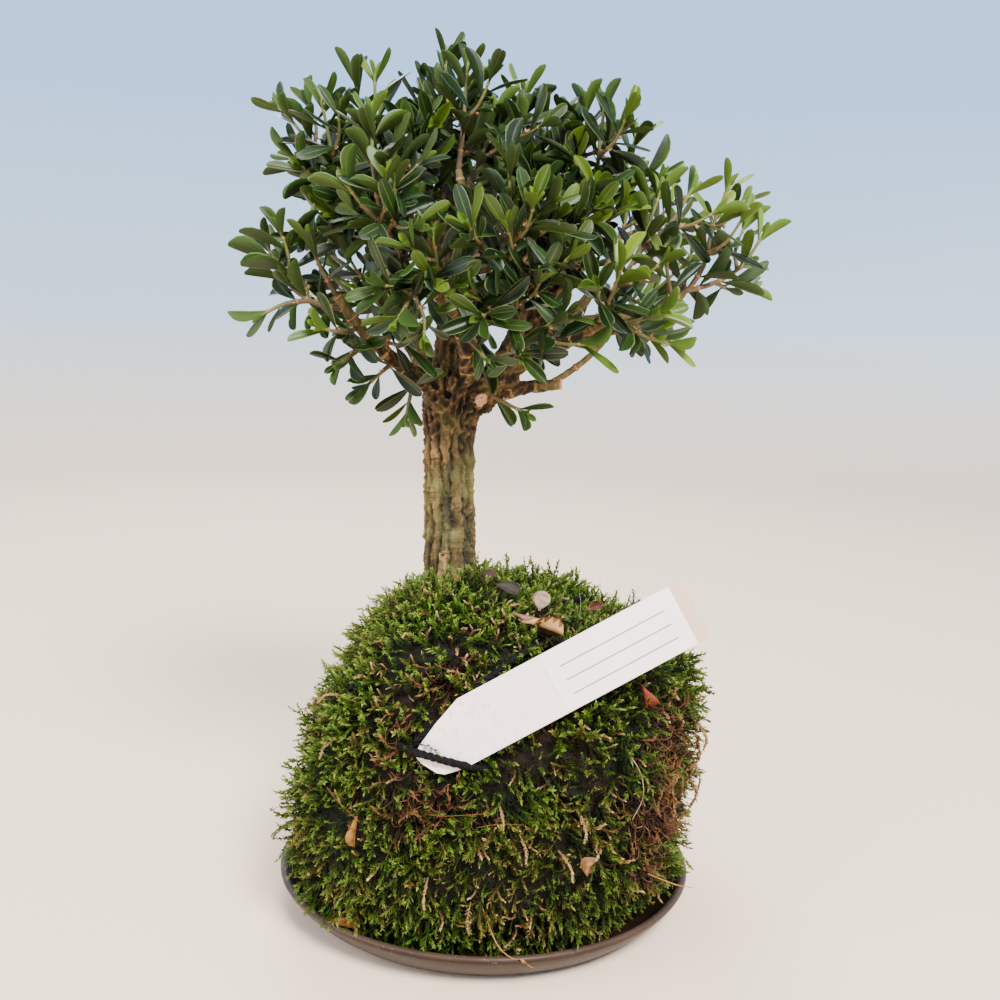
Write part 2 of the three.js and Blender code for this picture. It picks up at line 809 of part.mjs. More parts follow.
function leafHole([a, b, c, d], { place }) {
  const across = b.clone().sub(a).normalize();
  const onward = c.clone().add(d).sub(a).sub(b).normalize();
  const middle = a.clone().lerp(b, 0.5).lerp(c.clone().lerp(d, 0.5), place);
  const { halfWidth, above, below } = leaf.root;
  return [
    middle.clone().addScaledVector(across, halfWidth).addScaledVector(onward, above),
    middle.clone().addScaledVector(across, -halfWidth).addScaledVector(onward, above),
    middle.clone().addScaledVector(onward, -below),
  ];
}

// where a side shoot's four edges come through its parent's flat side
function shootHole([a, b, c, d], curve) {
  const plane = new THREE.Plane().setFromCoplanarPoints(a, b, c);
  const middle = a.clone().add(b).add(c).add(d).multiplyScalar(0.25);
  const start = curve.getPointAt(0);
  const tangent = curve.getTangentAt(0);
  return squareRing(curve, pairsOn(curve), 0, sideShoot.rootRadius).map((corner) => {
    const offset = corner.sub(start);
    return offset.addScaledVector(tangent, -offset.dot(plane.normal) / plane.normal.dot(tangent)).add(middle);
  });
}

function squareRing(curve, steps, i, radius) {
  const frames = curve.computeFrenetFrames(steps, false);
  const centre = curve.getPointAt(i / steps);
  return [0, 1, 2, 3].map((k) => {
    const turn = frames.normals[i].clone().applyAxisAngle(frames.tangents[i], (k * Math.PI) / 2);
    return centre.clone().addScaledVector(turn, radius);
  });
}

// a square twig from its first ring on, with its leaves and side shoots
function addTwig(skin, { curve, thickness, growths, sides }, firstRing) {
  const steps = pairsOn(curve);
  let ring = firstRing;
  for (let step = 0; step < steps; step++) {
    const radius = twigRadius((step + 1) / steps, thickness);
    const next = addPoints(skin, squareRing(curve, steps, step + 1, radius));
    for (let side = 0; side < 4; side++) {
      const side2 = (side + 1) % 4;
      const corners = [ring[side], ring[side2], next[side2], next[side]];
      const places = corners.map((index) => skin.points[index]);
      const growth = growths.find((one) => one.step === step && one.side === side);
      const sideTwig = sides.find((one) => one.step === step && one.side === side);
      if (growth) {
        addBlade(skin, addOpenSide(skin, corners, leafHole(places, growth)), growth, 0);
      } else if (sideTwig) {
        addTwig(skin, sideTwig, addOpenSide(skin, corners, shootHole(places, sideTwig.curve)));
      } else {
        skin.faces.push(corners[0], corners[1], corners[2], corners[0], corners[2], corners[3]);
      }
    }
    ring = next;
  }
  skin.faces.push(ring[0], ring[1], ring[2], ring[0], ring[2], ring[3]);
}

function leafyTwig(twig) {
  const skin = { points: [], faces: [] };
  const steps = pairsOn(twig.curve);
  const base = addPoints(skin, squareRing(twig.curve, steps, 0, twigRadius(0, twig.thickness)));
  skin.faces.push(base[0], base[2], base[1], base[0], base[3], base[2]);
  addTwig(skin, twig, base);
  return skinSolid(skin);
}

const meets = (a, b) => !a.intersect(b).isEmpty();

function boxesMeet(a, b) {
  for (let i = 0; i < 3; i++) {
    if (a.max[i] < b.min[i] || b.max[i] < a.min[i]) {
      return false;
    }
  }
  return true;
}

const withBox = (solid) => ({ solid, box: solid.boundingBox() });

const crosses = (a, b) => boxesMeet(a.box, b.box) && meets(a.solid, b.solid);

// ---- cord and label ----

const labelAxes = {
  along: vector(...label.along).normalize(),
  facing: vector(...label.facing).normalize(),
};
labelAxes.across = new THREE.Vector3().crossVectors(labelAxes.facing, labelAxes.along).normalize();
labelAxes.facing.crossVectors(labelAxes.along, labelAxes.across).normalize();
const labelEnd = vector(...label.rightEnd);

// the outline, from the square end to the blunt nose; across runs to the label's lower edge
const labelOutline = [
  [0, -0.5],
  [0.8, -0.5],
  [0.98, -0.13],
  [1, 0.03],
  [0.965, 0.39],
  [0.87, 0.5],
  [0, 0.5],
].map(([along, across]) => new THREE.Vector2(along * label.length, across * label.width));

// a flat plate in the label's own plane, from one depth to another in front of its middle
function plate(shape, from, to) {
  const depth = to - from;
  const geometry = new THREE.ExtrudeGeometry(shape, { depth, bevelEnabled: false, curveSegments: 3 });
  geometry.translate(0, 0, from);
  const placing = new THREE.Matrix4().makeBasis(labelAxes.along, labelAxes.across, labelAxes.facing);
  placing.setPosition(labelEnd);
  geometry.applyMatrix4(placing);
  return geometry;
}

function grownOutline(extra) {
  const middle = new THREE.Vector2(label.length / 2, 0);
  const stretch = new THREE.Vector2(
    (label.length + 2 * extra) / label.length,
    (label.width + 2 * extra) / label.width,
  );
  return labelOutline.map((point) => point.clone().sub(middle).multiply(stretch).add(middle));
}

function stickerShape() {
  const x0 = sticker.fromEnd;
  const x1 = sticker.fromEnd + sticker.length;
  const y = sticker.width / 2;
  const r = sticker.corner;
  const shape = new THREE.Shape();
  shape.moveTo(x0 + r, -y);
  shape.lineTo(x1 - r, -y);
  shape.absarc(x1 - r, -y + r, r, -Math.PI / 2, 0);
  shape.lineTo(x1, y - r);
  shape.absarc(x1 - r, y - r, r, 0, Math.PI / 2);
  shape.lineTo(x0 + r, y);
  shape.absarc(x0 + r, y - r, r, Math.PI / 2, Math.PI);
  shape.lineTo(x0, -y + r);
  shape.absarc(x0 + r, -y + r, r, Math.PI, 1.5 * Math.PI);
  return shape;
}

// keeps a cord's middle clear of the label: in front of it, or behind it
function clearOfLabel(point, direction, isOver) {
  const margin = 3.5;
  const offset = point.clone().sub(labelEnd);
  const along = offset.dot(labelAxes.along);
  const across = offset.dot(labelAxes.across);
  const depth = offset.dot(labelAxes.facing);
  const isPastEnd = along < -margin || along > label.length + margin;
  const isBeside = Math.abs(across) > label.width / 2 + margin;
  if (isPastEnd || isBeside || Math.abs(depth) > cord.reach) {
    return;
  }
  const needed = label.thickness / 2 + gap + cord.radius + 0.5;
  const shift = isOver ? Math.max(0, needed - depth) : Math.min(0, -needed - depth);
  point.addScaledVector(direction, shift / direction.dot(labelAxes.facing));
}

function makeTurn({ over }, { first, second, normal, tilt }, extra) {
  const points = [];
  for (let i = 0; i < cord.steps; i++) {
    const angle = (2 * Math.PI * i) / cord.steps;
    const direction = first
      .clone()
      .multiplyScalar(Math.cos(angle) * Math.cos(tilt))
      .addScaledVector(second, Math.sin(angle) * Math.cos(tilt))
      .addScaledVector(normal, Math.sin(tilt));
    const point = ballCentre.clone().addScaledVector(direction, ballRadius(direction) + cord.lift);
    point.z = Math.max(point.z, ballFloor + cord.radius + gap);
    insideWall(point, ball.wallClearance + gap);
    clearOfLabel(point, direction, over);
    points.push(point);
  }
  const curve = new THREE.CatmullRomCurve3(points, true);
  return toSolid(bar(curve, cord.steps, cord.sides, () => cord.radius + extra, true));
}

const makeCord = (extra) => join(cord.turns.map((turn, i) => makeTurn(turn, turnPlanes[i], extra)));

// ---- assembly ----

addMesh('saucer', saucerGeometry, materials.glaze);

const trunkSpace = toSolid(loft(trunkRings(cutGap)));
const soilFloor = ballFloor + ball.mossThickness;
const soilSolid = toSolid(makeBall(ball.soilDetail, soilSurface(0), soilFloor));
const soilSpace = toSolid(makeBall(ball.soilDetail, soilSurface(cutGap), soilFloor - cutGap));
addMesh('soil_core', toGeometry(soilSolid.subtract(trunkSpace)), materials.soil);

const labelSpace = toSolid(
  plate(new THREE.Shape(grownOutline(gap)), -label.thickness / 2 - gap, label.mossClearance),
);
const mossSolid = toSolid(makeBall(ball.mossDetail, mossSurface(), ballFloor));
const mossCuts = [soilSpace, trunkSpace, makeCord(cutGap), labelSpace];
const mossBody = mossCuts.reduce((body, cut) => body.subtract(cut), mossSolid);
addMesh('moss_cover', toGeometry(largest(mossBody)), materials.moss);

addMesh('binding_cord', toGeometry(makeCord(0)), materials.cord);

const labelPlate = plate(new THREE.Shape(labelOutline), -label.thickness / 2, label.thickness / 2);
addMesh('plant_label', mergeVertices(stripped(labelPlate), 1e-4), materials.label);
const stickerBack = label.thickness / 2 + gap;
const stickerPlate = plate(stickerShape(), stickerBack, stickerBack + sticker.thickness);
addMesh('label_sticker', mergeVertices(stripped(stickerPlate), 1e-4), materials.sticker);

addMesh('wood', toGeometry(makeWood(0)), materials.bark);
const woodSpace = makeWood(cutGap);

const limbLines = [...limbs, ...cutStubs].map(({ points, radii }) => ({
  line: curveThrough(points).getSpacedPoints(12),
  radii,
}));
const sprays = [];
for (const limb of limbs) {
  const limbCurve = curveThrough(limb.points);
  limb.sprays.forEach(({ at, path, forks = [] }, index) => {
    const main = twigCurve(limbCurve.getPointAt(at), path);
    const curves = [main, ...forks.map((fork) => twigCurve(main.getPointAt(fork.at), fork.path))];
    const twigs = curves.map((curve) => ({ curve, thickness: 1, sides: [] }));
    sprays.push({ name: `spray_${limb.name}_${index + 1}`, twigs });
  });
}
for (const { twigs } of sprays) {
  for (const twig of twigs) {
    if (twig.curve.getLength() > sideShoot.parentLength) {
      addSideShoots(twig);
    }
  }
}
for (const twig of twigsOf(sprays)) {
  twig.space = withBox(twigSpace(twig));
}

// A leaf that would cross wood, another twig or an earlier leaf is left out. Every twig counts,
// so that no leaf of one spray grows through the twig of another.
const blades = [];
const woodSolid = withBox(woodSpace);
function roomyLeaves(twig, random) {
  const others = twigsOf(sprays).filter((other) => other !== twig);
  const spaces = [woodSolid, ...others.map((other) => other.space)];
  return leavesOf(twig, random).filter((growth) => {
    const blade = withBox(bladeSolid(growth, 0));
    const grown = withBox(bladeSolid(growth, gap));
    const isClear =
      !spaces.some((space) => crosses(blade, space)) && !blades.some((other) => crosses(grown, other));
    if (isClear) {
      blades.push(blade);
    }
    return isClear;
  });
}

sprays.forEach((spray, index) => {
  const random = randomStream(shoot.seed + index);
  for (const twig of twigsOf([spray])) {
    twig.growths = roomyLeaves(twig, random);
  }
  let whole = join(spray.twigs.map(leafyTwig)).subtract(woodSpace);
  for (const { space } of twigsOf(sprays.slice(0, index))) {
    whole = whole.subtract(space.solid);
  }
  addMesh(spray.name, toGeometry(largest(whole)), materials.leaf);
});

export default model;
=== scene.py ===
import json
import math
import bmesh
import bpy
import numpy as np
from mathutils import Matrix, Vector, noise

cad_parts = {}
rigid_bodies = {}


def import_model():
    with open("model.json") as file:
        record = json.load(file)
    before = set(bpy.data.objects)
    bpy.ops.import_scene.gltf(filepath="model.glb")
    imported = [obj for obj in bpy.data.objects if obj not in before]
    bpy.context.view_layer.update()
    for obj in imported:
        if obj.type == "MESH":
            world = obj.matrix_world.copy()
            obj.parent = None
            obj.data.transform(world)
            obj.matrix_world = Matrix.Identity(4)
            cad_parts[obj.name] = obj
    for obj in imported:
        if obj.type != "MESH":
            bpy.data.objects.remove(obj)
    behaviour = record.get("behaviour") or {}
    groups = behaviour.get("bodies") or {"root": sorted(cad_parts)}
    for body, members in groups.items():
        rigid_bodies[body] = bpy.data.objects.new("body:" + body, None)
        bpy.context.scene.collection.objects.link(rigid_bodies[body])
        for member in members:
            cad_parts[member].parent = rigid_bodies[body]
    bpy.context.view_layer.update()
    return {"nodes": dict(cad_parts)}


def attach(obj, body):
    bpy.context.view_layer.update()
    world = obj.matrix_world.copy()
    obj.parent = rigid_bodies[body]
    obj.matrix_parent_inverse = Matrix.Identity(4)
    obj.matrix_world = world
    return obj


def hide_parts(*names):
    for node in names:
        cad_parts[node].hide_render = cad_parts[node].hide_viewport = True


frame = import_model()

mm = 0.001
scene = bpy.context.scene


# small helpers


def colour(red, green, blue):  # screen values from 0 to 255
    def linear(value):
        value = value / 255
        return value / 12.92 if value <= 0.04045 else ((value + 0.055) / 1.055) ** 2.4
    return (linear(red), linear(green), linear(blue), 1)


class Wire:  # an output of a node, so that node maths reads as plain sums
    def __init__(self, graph, socket):
        self.graph = graph
        self.socket = socket

    def __add__(self, other):
        return self.graph.maths("ADD", self, other)

    def __radd__(self, other):
        return self.graph.maths("ADD", other, self)

    def __sub__(self, other):
        return self.graph.maths("SUBTRACT", self, other)

    def __rsub__(self, other):
        return self.graph.maths("SUBTRACT", other, self)

    def __mul__(self, other):
        return self.graph.maths("MULTIPLY", self, other)

    def __rmul__(self, other):
        return self.graph.maths("MULTIPLY", other, self)

    def __truediv__(self, other):
        return self.graph.maths("DIVIDE", self, other)

    def __gt__(self, other):
        return self.graph.maths("GREATER_THAN", self, other)

    def __lt__(self, other):
        return self.graph.maths("LESS_THAN", self, other)


class Graph:
    def __init__(self, tree):
        self.tree = tree

    # a node's settings go first, because they decide which sockets it has
    def node(self, kind, settings=None, sockets=None, out=0):
        made = self.tree.nodes.new(kind)
        for name, value in (settings or {}).items():
            if name == "stops":
                ramp = made.color_ramp
                while len(ramp.elements) < len(value):
                    ramp.elements.new(1)
                for element, (place, tint) in zip(ramp.elements, value):
                    element.position = place
                    element.color = tint
            else:
                setattr(made, name, value)
        for name, value in (sockets or {}).items():
            if isinstance(name, int):
                socket = made.inputs[name]
            else:
                socket = next(one for one in made.inputs if one.name == name and one.enabled)
            if isinstance(value, Wire):
                self.tree.links.new(value.socket, socket)
            else:
                socket.default_value = value
        shown = [one for one in made.outputs if one.enabled]
        if not shown:
            return made
        if isinstance(out, str):
            return Wire(self, next(one for one in shown if one.name == out))
        return Wire(self, shown[out])

    def maths(self, operation, *values):
        return self.node("ShaderNodeMath", {"operation": operation}, dict(enumerate(values)))

    def vectorMaths(self, operation, *values):
        return self.node("ShaderNodeVectorMath", {"operation": operation}, dict(enumerate(values)))

    def clamp(self, value):
        return self.node("ShaderNodeClamp", {}, {"Value": value})

    def above(self, value, start, rise):  # 0 up to the start, then rising to 1
        return self.clamp((value - start) * rise)

    def mixColour(self, factor, first, second):  # wires, or screen values
        first, second = (colour(*one) if isinstance(one, tuple) else one for one in (first, second))
        return self.node("ShaderNodeMix", {"data_type": "RGBA"}, {"Factor": factor, "A": first, "B": second})

    def noise(self, scale, place, detail, roughness=0.55):
        return self.node("ShaderNodeTexNoise", {}, {"Scale": scale, "Detail": detail, "Roughness": roughness,
                                                   "Vector": place})

    def attribute(self, name, out="Fac"):
        return self.node("ShaderNodeAttribute", {"attribute_name": name}, {}, out=out)

    def ramp(self, factor, *stops):  # a stop is its place and its screen values
        stops = [(place, colour(*values)) for place, *values in stops]
        return self.node("ShaderNodeValToRGB", {"stops": stops}, {"Fac": factor})

    def part(self, vector, axis):
        return self.node("ShaderNodeSeparateXYZ", {}, {"Vector": vector}, out=axis)

    def place(self, scale=(1, 1, 1)):  # object coordinates, stretched
        spot = self.node("ShaderNodeTexCoord", {}, {}, out="Object")
        return self.node("ShaderNodeMapping", {}, {"Vector": spot, "Scale": scale})

    def bump(self, height, distance, strength):
        return self.node("ShaderNodeBump", {}, {"Height": height, "Distance": distance, "Strength": strength})

    def named(self, name, kind="FLOAT"):  # what storeValues put on the mesh
        return self.node("GeometryNodeInputNamedAttribute", {"data_type": kind}, {"Name": name})

    def chance(self, kind, low, high, seed):
        sockets = {"Min": low, "Max": high, "Seed": seed}
        return self.node("FunctionNodeRandomValue", {"data_type": kind}, sockets)

    def plant(self, points, shapes, more):  # one shape of a set on each point
        kinds = self.node("GeometryNodeCollectionInfo", {}, {"Collection": shapes, "Separate Children": True,
                                                             "Reset Children": True})
        return self.node("GeometryNodeInstanceOnPoints", {}, {"Points": points, "Instance": kinds,
                                                              "Pick Instance": True, **more})


# a Principled material; paint returns the sockets that vary over the surface
def newMaterial(name, paint, fixed):
    material = bpy.data.materials.new(name)
    material.use_nodes = True
    tree = material.node_tree
    tree.nodes.clear()
    graph = Graph(tree)
    shader = graph.node("ShaderNodeBsdfPrincipled", {}, {**fixed, **paint(graph)})
    graph.node("ShaderNodeOutputMaterial", {}, {"Surface": shader})
    return material


def newObject(name, mesh, material=None):
    made = bpy.data.objects.new(name, mesh)
    scene.collection.objects.link(made)
    if material:
        mesh.materials.clear()
        mesh.materials.append(material)
    return made


def meshFrom(name, points, faces, smooth=True):
    mesh = bpy.data.meshes.new(name)
    mesh.from_pydata([tuple(point) for point in points], [], faces)
    mesh.update()
    if smooth:
        mesh.shade_smooth()
    return mesh


def storeValues(mesh, name, values, kind="FLOAT", domain="POINT"):
    attribute = mesh.attributes.new(name, kind, domain)
    field = "vector" if kind == "FLOAT_VECTOR" else "value"
    values = np.asarray(values, dtype=np.int32 if kind == "INT" else np.float32)
    attribute.data.foreach_set(field, values.ravel())


def readPoints(mesh):
    points = np.empty(len(mesh.vertices) * 3)
    mesh.vertices.foreach_get("co", points)
    return points.reshape(-1, 3)


def movePoints(mesh, points):  # in mm
    mesh.vertices.foreach_set("co", (points * mm).ravel())
    mesh.update()


def finishPiece(piece, slotName, *nodes):
    if nodes:
        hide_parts(*nodes)
    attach(piece, "root")


# Geometry Nodes on an object: its named inputs are set by identifier, and the result is a plain mesh.
def growMesh(name, source, tree, values):
    modifier = source.modifiers.new("grow", "NODES")
    modifier.node_group = tree
    for item in tree.interface.items_tree:
        if item.item_type == "SOCKET" and item.in_out == "INPUT" and item.name in values:
            modifier[item.identifier] = values[item.name]
    depsgraph = bpy.context.evaluated_depsgraph_get()
    mesh = bpy.data.meshes.new_from_object(source.evaluated_get(depsgraph))
    mesh.name = name
    source.modifiers.remove(modifier)
    bpy.data.objects.remove(source)
    return mesh


# a set of shapes that points pick from, outside the scene
def newSet(name, meshes):
    group = bpy.data.collections.new(name)
    for mesh in meshes:
        group.objects.link(bpy.data.objects.new(mesh.name, mesh))
    return group


def dropSet(group):
    for one in list(group.objects):
        bpy.data.objects.remove(one)
    bpy.data.collections.remove(group)


def newTree(name, inputs):
    tree = bpy.data.node_groups.new(name, "GeometryNodeTree")
    tree.interface.new_socket("Geometry", in_out="INPUT", socket_type="NodeSocketGeometry")
    tree.interface.new_socket("Geometry", in_out="OUTPUT", socket_type="NodeSocketGeometry")
    for label, kind in inputs.items():
        tree.interface.new_socket(label, in_out="INPUT", socket_type="NodeSocket" + kind)
    graph = Graph(tree)
    entry = tree.nodes.new("NodeGroupInput")
    return tree, graph, {one.name: Wire(graph, one) for one in entry.outputs if one.name}


def endTree(graph, shape, material):
    whole = graph.node("GeometryNodeRealizeInstances", {}, {"Geometry": shape})
    painted = graph.node("GeometryNodeSetMaterial", {}, {"Geometry": whole, "Material": material})
    graph.node("NodeGroupOutput", {}, {"Geometry": painted})


# a repeatable stream of numbers from 0 to 1, the same one as the solids use
def randomStream(seed):
    state = seed

    def draw():
        nonlocal state
        state = (state + 0x6D2B79F5) & 0xFFFFFFFF
        mixed = ((state ^ (state >> 15)) * (1 | state)) & 0xFFFFFFFF
        mixed = ((mixed + (((mixed ^ (mixed >> 7)) * (61 | mixed)) & 0xFFFFFFFF)) & 0xFFFFFFFF) ^ mixed
        return ((mixed ^ (mixed >> 14)) & 0xFFFFFFFF) / 4294967296
    return draw


def lerp(first, last, share):
    return first + (last - first) * share


def clipped(value):  # kept between 0 and 1
    return min(1, max(0, value))


def unit(vector):
    vector = np.asarray(vector, float)
    return vector / np.linalg.norm(vector)


def turned(vector, axis, angle):
    cos, sin = math.cos(angle), math.sin(angle)
    return vector * cos + np.cross(axis, vector) * sin + axis * np.dot(axis, vector) * (1 - cos)


# A smooth line through points, measured along its length, with frames that don't twist.
class Line:
    def __init__(self, points):
        self.corners = np.array(points, float)
        self.shares = np.linspace(0, 1, 201)
        fine = np.array([self.at(share) for share in self.shares])
        steps = np.linalg.norm(np.diff(fine, axis=0), axis=1)
        self.lengths = np.concatenate([[0], np.cumsum(steps)])
        self.length = self.lengths[-1]

    def at(self, share):
        corners, count = self.corners, len(self.corners)
        spot = (count - 1) * share
        index = min(int(spot), count - 2)
        rest = spot - index
        p1, p2 = corners[index], corners[index + 1]
        p0 = corners[index - 1] if index > 0 else 2 * p1 - p2
        p3 = corners[index + 2] if index + 2 < count else 2 * p2 - p1
        d0, d1, d2 = (max(np.linalg.norm(b - a), 1e-6) ** 0.5 for a, b in ((p0, p1), (p1, p2), (p2, p3)))
        t1 = ((p1 - p0) / d0 - (p2 - p0) / (d0 + d1) + (p2 - p1) / d1) * d1
        t2 = ((p2 - p1) / d1 - (p3 - p1) / (d1 + d2) + (p3 - p2) / d2) * d1
        return (p1 + t1 * rest + (-3 * p1 + 3 * p2 - 2 * t1 - t2) * rest ** 2
                + (2 * p1 - 2 * p2 + t1 + t2) * rest ** 3)

    def point(self, share):
        return self.at(float(np.interp(share * self.length, self.lengths, self.shares)))

    def tangent(self, share):
        low, high = max(0, share - 1e-4), min(1, share + 1e-4)
        return unit(self.point(high) - self.point(low))

    def frames(self, steps):
        tangents = [self.tangent(i / steps) for i in range(steps + 1)]
        axis = np.zeros(3)
        axis[int(np.argmin(np.abs(tangents[0])))] = 1
        normals = [np.cross(tangents[0], unit(np.cross(tangents[0], axis)))]
        for before, after in zip(tangents, tangents[1:]):
            across = np.cross(before, after)
            normal = normals[-1]
            if np.linalg.norm(across) > 1e-9:
                angle = math.acos(max(-1, min(1, float(np.dot(before, after)))))
                normal = turned(normal, unit(across), angle)
            normals.append(normal)
        return tangents, normals, [np.cross(t, n) for t, n in zip(tangents, normals)]


# faces between rings of points, with a fan to the first and to the last point
def ringFaces(steps, sides):
    last = 1 + (steps + 1) * sides
    faces = []
    for k in range(sides):
        k2 = (k + 1) % sides
        faces.append((0, 1 + k2, 1 + k))
        faces.append((last, last - sides + k, last - sides + k2))
        for i in range(steps):
            here, above = 1 + i * sides, 1 + (i + 1) * sides
            faces.append((here + k, here + k2, above + k2, above + k))
    return faces


# a closed tube: rings round a line, with a point at each end
def tube(line, steps, sides, radiusAt):
    tangents, normals, binormals = line.frames(steps)
    points = [line.point(0)]
    for i in range(steps + 1):
        centre, reach = line.point(i / steps), radiusAt(i / steps)
        for k in range(sides):
            angle = 2 * math.pi * k / sides
            points.append(centre + reach * (normals[i] * math.cos(angle) + binormals[i] * math.sin(angle)))
    points.append(line.point(1))
    return points, ringFaces(steps, sides)


# camera, light and floor

view = {
    "place": (2.09, -365.27, 185.41),  # mm
    "pitch": 8.4585,  # degrees down
    "roll": 1.58,
    "lens": 41.48,
    "sensor": 36,
    "nearest": 0.01,  # metres
}


def makeCamera():
    pitch, roll = math.radians(view["pitch"]), math.radians(view["roll"])
    ahead = Vector((0, math.cos(pitch), -math.sin(pitch)))
    side = Vector((1, 0, 0))
    above = side.cross(ahead)
    right = side * math.cos(roll) + above * math.sin(roll)
    up = above * math.cos(roll) - side * math.sin(roll)
    data = bpy.data.cameras.new("photoView")
    data.lens = view["lens"]
    data.sensor_width = view["sensor"]
    data.clip_start = view["nearest"]
    camera = bpy.data.objects.new("photoView", data)
    turn = Matrix((right, up, -ahead)).transposed().to_4x4()
    camera.matrix_world = Matrix.Translation(Vector(view["place"]) * mm) @ turn
    scene.collection.objects.link(camera)
    scene.camera = camera


studio = {
    # place, what it points at, width, power
    "lamps": {
        "key": ((0.35, -0.85, 0.95), (0, 0, 0.13), 0.4, 42),
        "fill": ((-0.9, -0.55, 0.6), (0, 0, 0.12), 0.8, 9),
        "back": ((-0.25, 0.85, 0.95), (0, 0, 0.15), 0.7, 14),
    },
    "roomColour": (0.93, 0.94, 0.98, 1),
    "roomStrength": 1.15,
    # the floor's rings, which run up into a round wall
    "floorRings": (0.3, 0.6, 1.1),
    "bend": 0.7,
    "bendSteps": 16,
    "wallTop": 1.5,
    "around": 96,
    "tints": ((0, 250, 220, 190), (0.06, 246, 228, 208), (0.2, 214, 234, 243), (0.6, 170, 206, 246)),
}


def makeStudio():
    for name, (place, target, width, power) in studio["lamps"].items():
        data = bpy.data.lights.new(name, "AREA")
        data.shape = "DISK"
        data.size = width
        data.energy = power
        lamp = bpy.data.objects.new(name, data)
        lamp.location = place
        lamp.rotation_euler = (Vector(target) - Vector(place)).to_track_quat("-Z", "Y").to_euler()
        scene.collection.objects.link(lamp)
    world = bpy.data.worlds.new("paleRoom")
    world.use_nodes = True
    world.node_tree.nodes.clear()
    graph = Graph(world.node_tree)
    sky = graph.node("ShaderNodeBackground", {}, {"Color": studio["roomColour"],
                                                  "Strength": studio["roomStrength"]})
    graph.node("ShaderNodeOutputWorld", {}, {"Surface": sky})
    scene.world = world
    profile = [(radius, 0) for radius in studio["floorRings"]]
    reach, bend = studio["floorRings"][-1], studio["bend"]
    for i in range(1, studio["bendSteps"] + 1):
        angle = i / studio["bendSteps"] * math.pi / 2
        profile.append((reach + bend * math.sin(angle), bend * (1 - math.cos(angle))))
    profile.append((reach + bend, studio["wallTop"]))
    around = studio["around"]
    points, faces = [(0, 0, 0)], []
    for ring, (radius, height) in enumerate(profile):
        for k in range(around):
            angle = 2 * math.pi * k / around
            points.append((radius * math.cos(angle), radius * math.sin(angle), height))
            here, beside = 1 + ring * around + k, 1 + ring * around + (k + 1) % around
            if ring:
                faces.append((here - around, here, beside, beside - around))
            else:
                faces.append((0, here, beside))

    def paint(graph):
        return {"Base Color": graph.ramp(graph.part(graph.place(), "Z"), *studio["tints"])}

    backdrop = newObject("floor", meshFrom("floor", points, faces),
                         newMaterial("paleBackdrop", paint, {"Roughness": 0.8, "Specular IOR Level": 0.2}))


makeCamera()
makeStudio()
print("camera, light and floor ready")

# saucer

saucer = {
    "segments": 144,
    # radius and height in mm, from the middle of the base round the rim to the middle of the well
    "profile": [(0, 0), (46, 0), (53.4, 0), (54.6, 0.15), (56, 0.6), (58, 1.5), (62, 4.6), (65.4, 8.2),
                (66.6, 9.8), (67.2, 10.8), (67.2, 11.5), (66.6, 11.95), (65.7, 11.9), (64.8, 11.2),
                (63.6, 9.8), (62, 7.9), (60, 5.6), (57.6, 4.2), (55, 3.65), (50, 3.6), (20, 3.6), (0, 3.6)],
    "rim": 10,  # where the rim is in the profile
    "wobble": 0.12,
    "wobbleScale": 2.2,
    "thinGlazeAndHighlight": 0.0106,  # metres up, from where the glaze runs thin and the rim is painted paler as a highlight
}


def makeSaucer():
    count = saucer["segments"]
    rings = saucer["profile"][1:-1]
    points = [(0, 0, saucer["profile"][0][1] * mm)]
    for radius, height in rings:
        for k in range(count):
            angle = 2 * math.pi * k / count
            away = Vector((math.cos(angle), math.sin(angle), height * 0.05)) * saucer["wobbleScale"]
            reach = radius + (saucer["wobble"] * noise.noise(away) if height > 0 else 0)
            points.append((reach * math.cos(angle) * mm, reach * math.sin(angle) * mm, height * mm))
    points.append((0, 0, saucer["profile"][-1][1] * mm))
    faces = ringFaces(len(rings) - 1, count)

    def paint(graph):
        spot = graph.place()
        cloud = graph.noise(60, spot, 4)
        speck = graph.noise(900, spot, 2)
        # painted highlight: the rim is painted paler all round, partly where the glaze runs thin
        thin = graph.above(graph.part(spot, "Z"), saucer["thinGlazeAndHighlight"], 900) * (0.45 + cloud * 0.8)
        base = graph.ramp(cloud, (0.3, 22, 12, 7), (0.62, 38, 24, 16), (0.8, 50, 33, 23))
        paleRim = graph.mixColour(graph.clamp(thin) * 0.6, base, (84, 66, 54))
        dusty = graph.mixColour(graph.above(speck, 0.66, 9) * 0.5, paleRim, (138, 122, 104))
        return {"Base Color": dusty, "Roughness": 0.34 + cloud * 0.2,
                "Normal": graph.bump(graph.noise(140, spot, 3), 0.0003, 0.35)}

    glaze = newMaterial("brownGlaze", paint, {"Specular IOR Level": 0.16, "Coat Weight": 0.025,
                                              "Coat Roughness": 0.1})
    piece = newObject("glazedSaucer", meshFrom("glazedSaucer", points, faces), glaze)
    finishPiece(piece, "glaze", "saucer")


makeSaucer()
print("saucer made")

# the shape of the ball, as in the solids

ball = {
    "centre": (4, 0, 48),  # mm
    "halfWidth": 62,
    "halfDepth": 61,
    "heightAbove": 56.5,
    "heightBelow": 52,
    "squarenessAbove": 2.4,
    "squarenessBelow": 3,
    "floor": 3.95,
    "wellRadius": 55,
    "wellFloor": 3.6,
    "saucerHeight": 12,
    # where each swell faces, how high it is and how sharp
    "swells": [
        ((-0.8, 0, 0.6), -6, 9),
        ((0.8, -0.1, 0.5), 3.5, 14),
        ((-0.3, -0.1, 1), 3, 20),
        ((-0.7, -0.6, -0.4), 2.5, 10),
        ((0.6, -0.8, -0.5), 2, 12),
        ((0.3, -1, 0.1), -1.5, 16),
        ((0.5, 0.8, 0.2), 2.5, 10),
        ((-0.6, 0.8, 0.1), -2, 9),
    ],
}
ballCentre = np.array(ball["centre"], float)


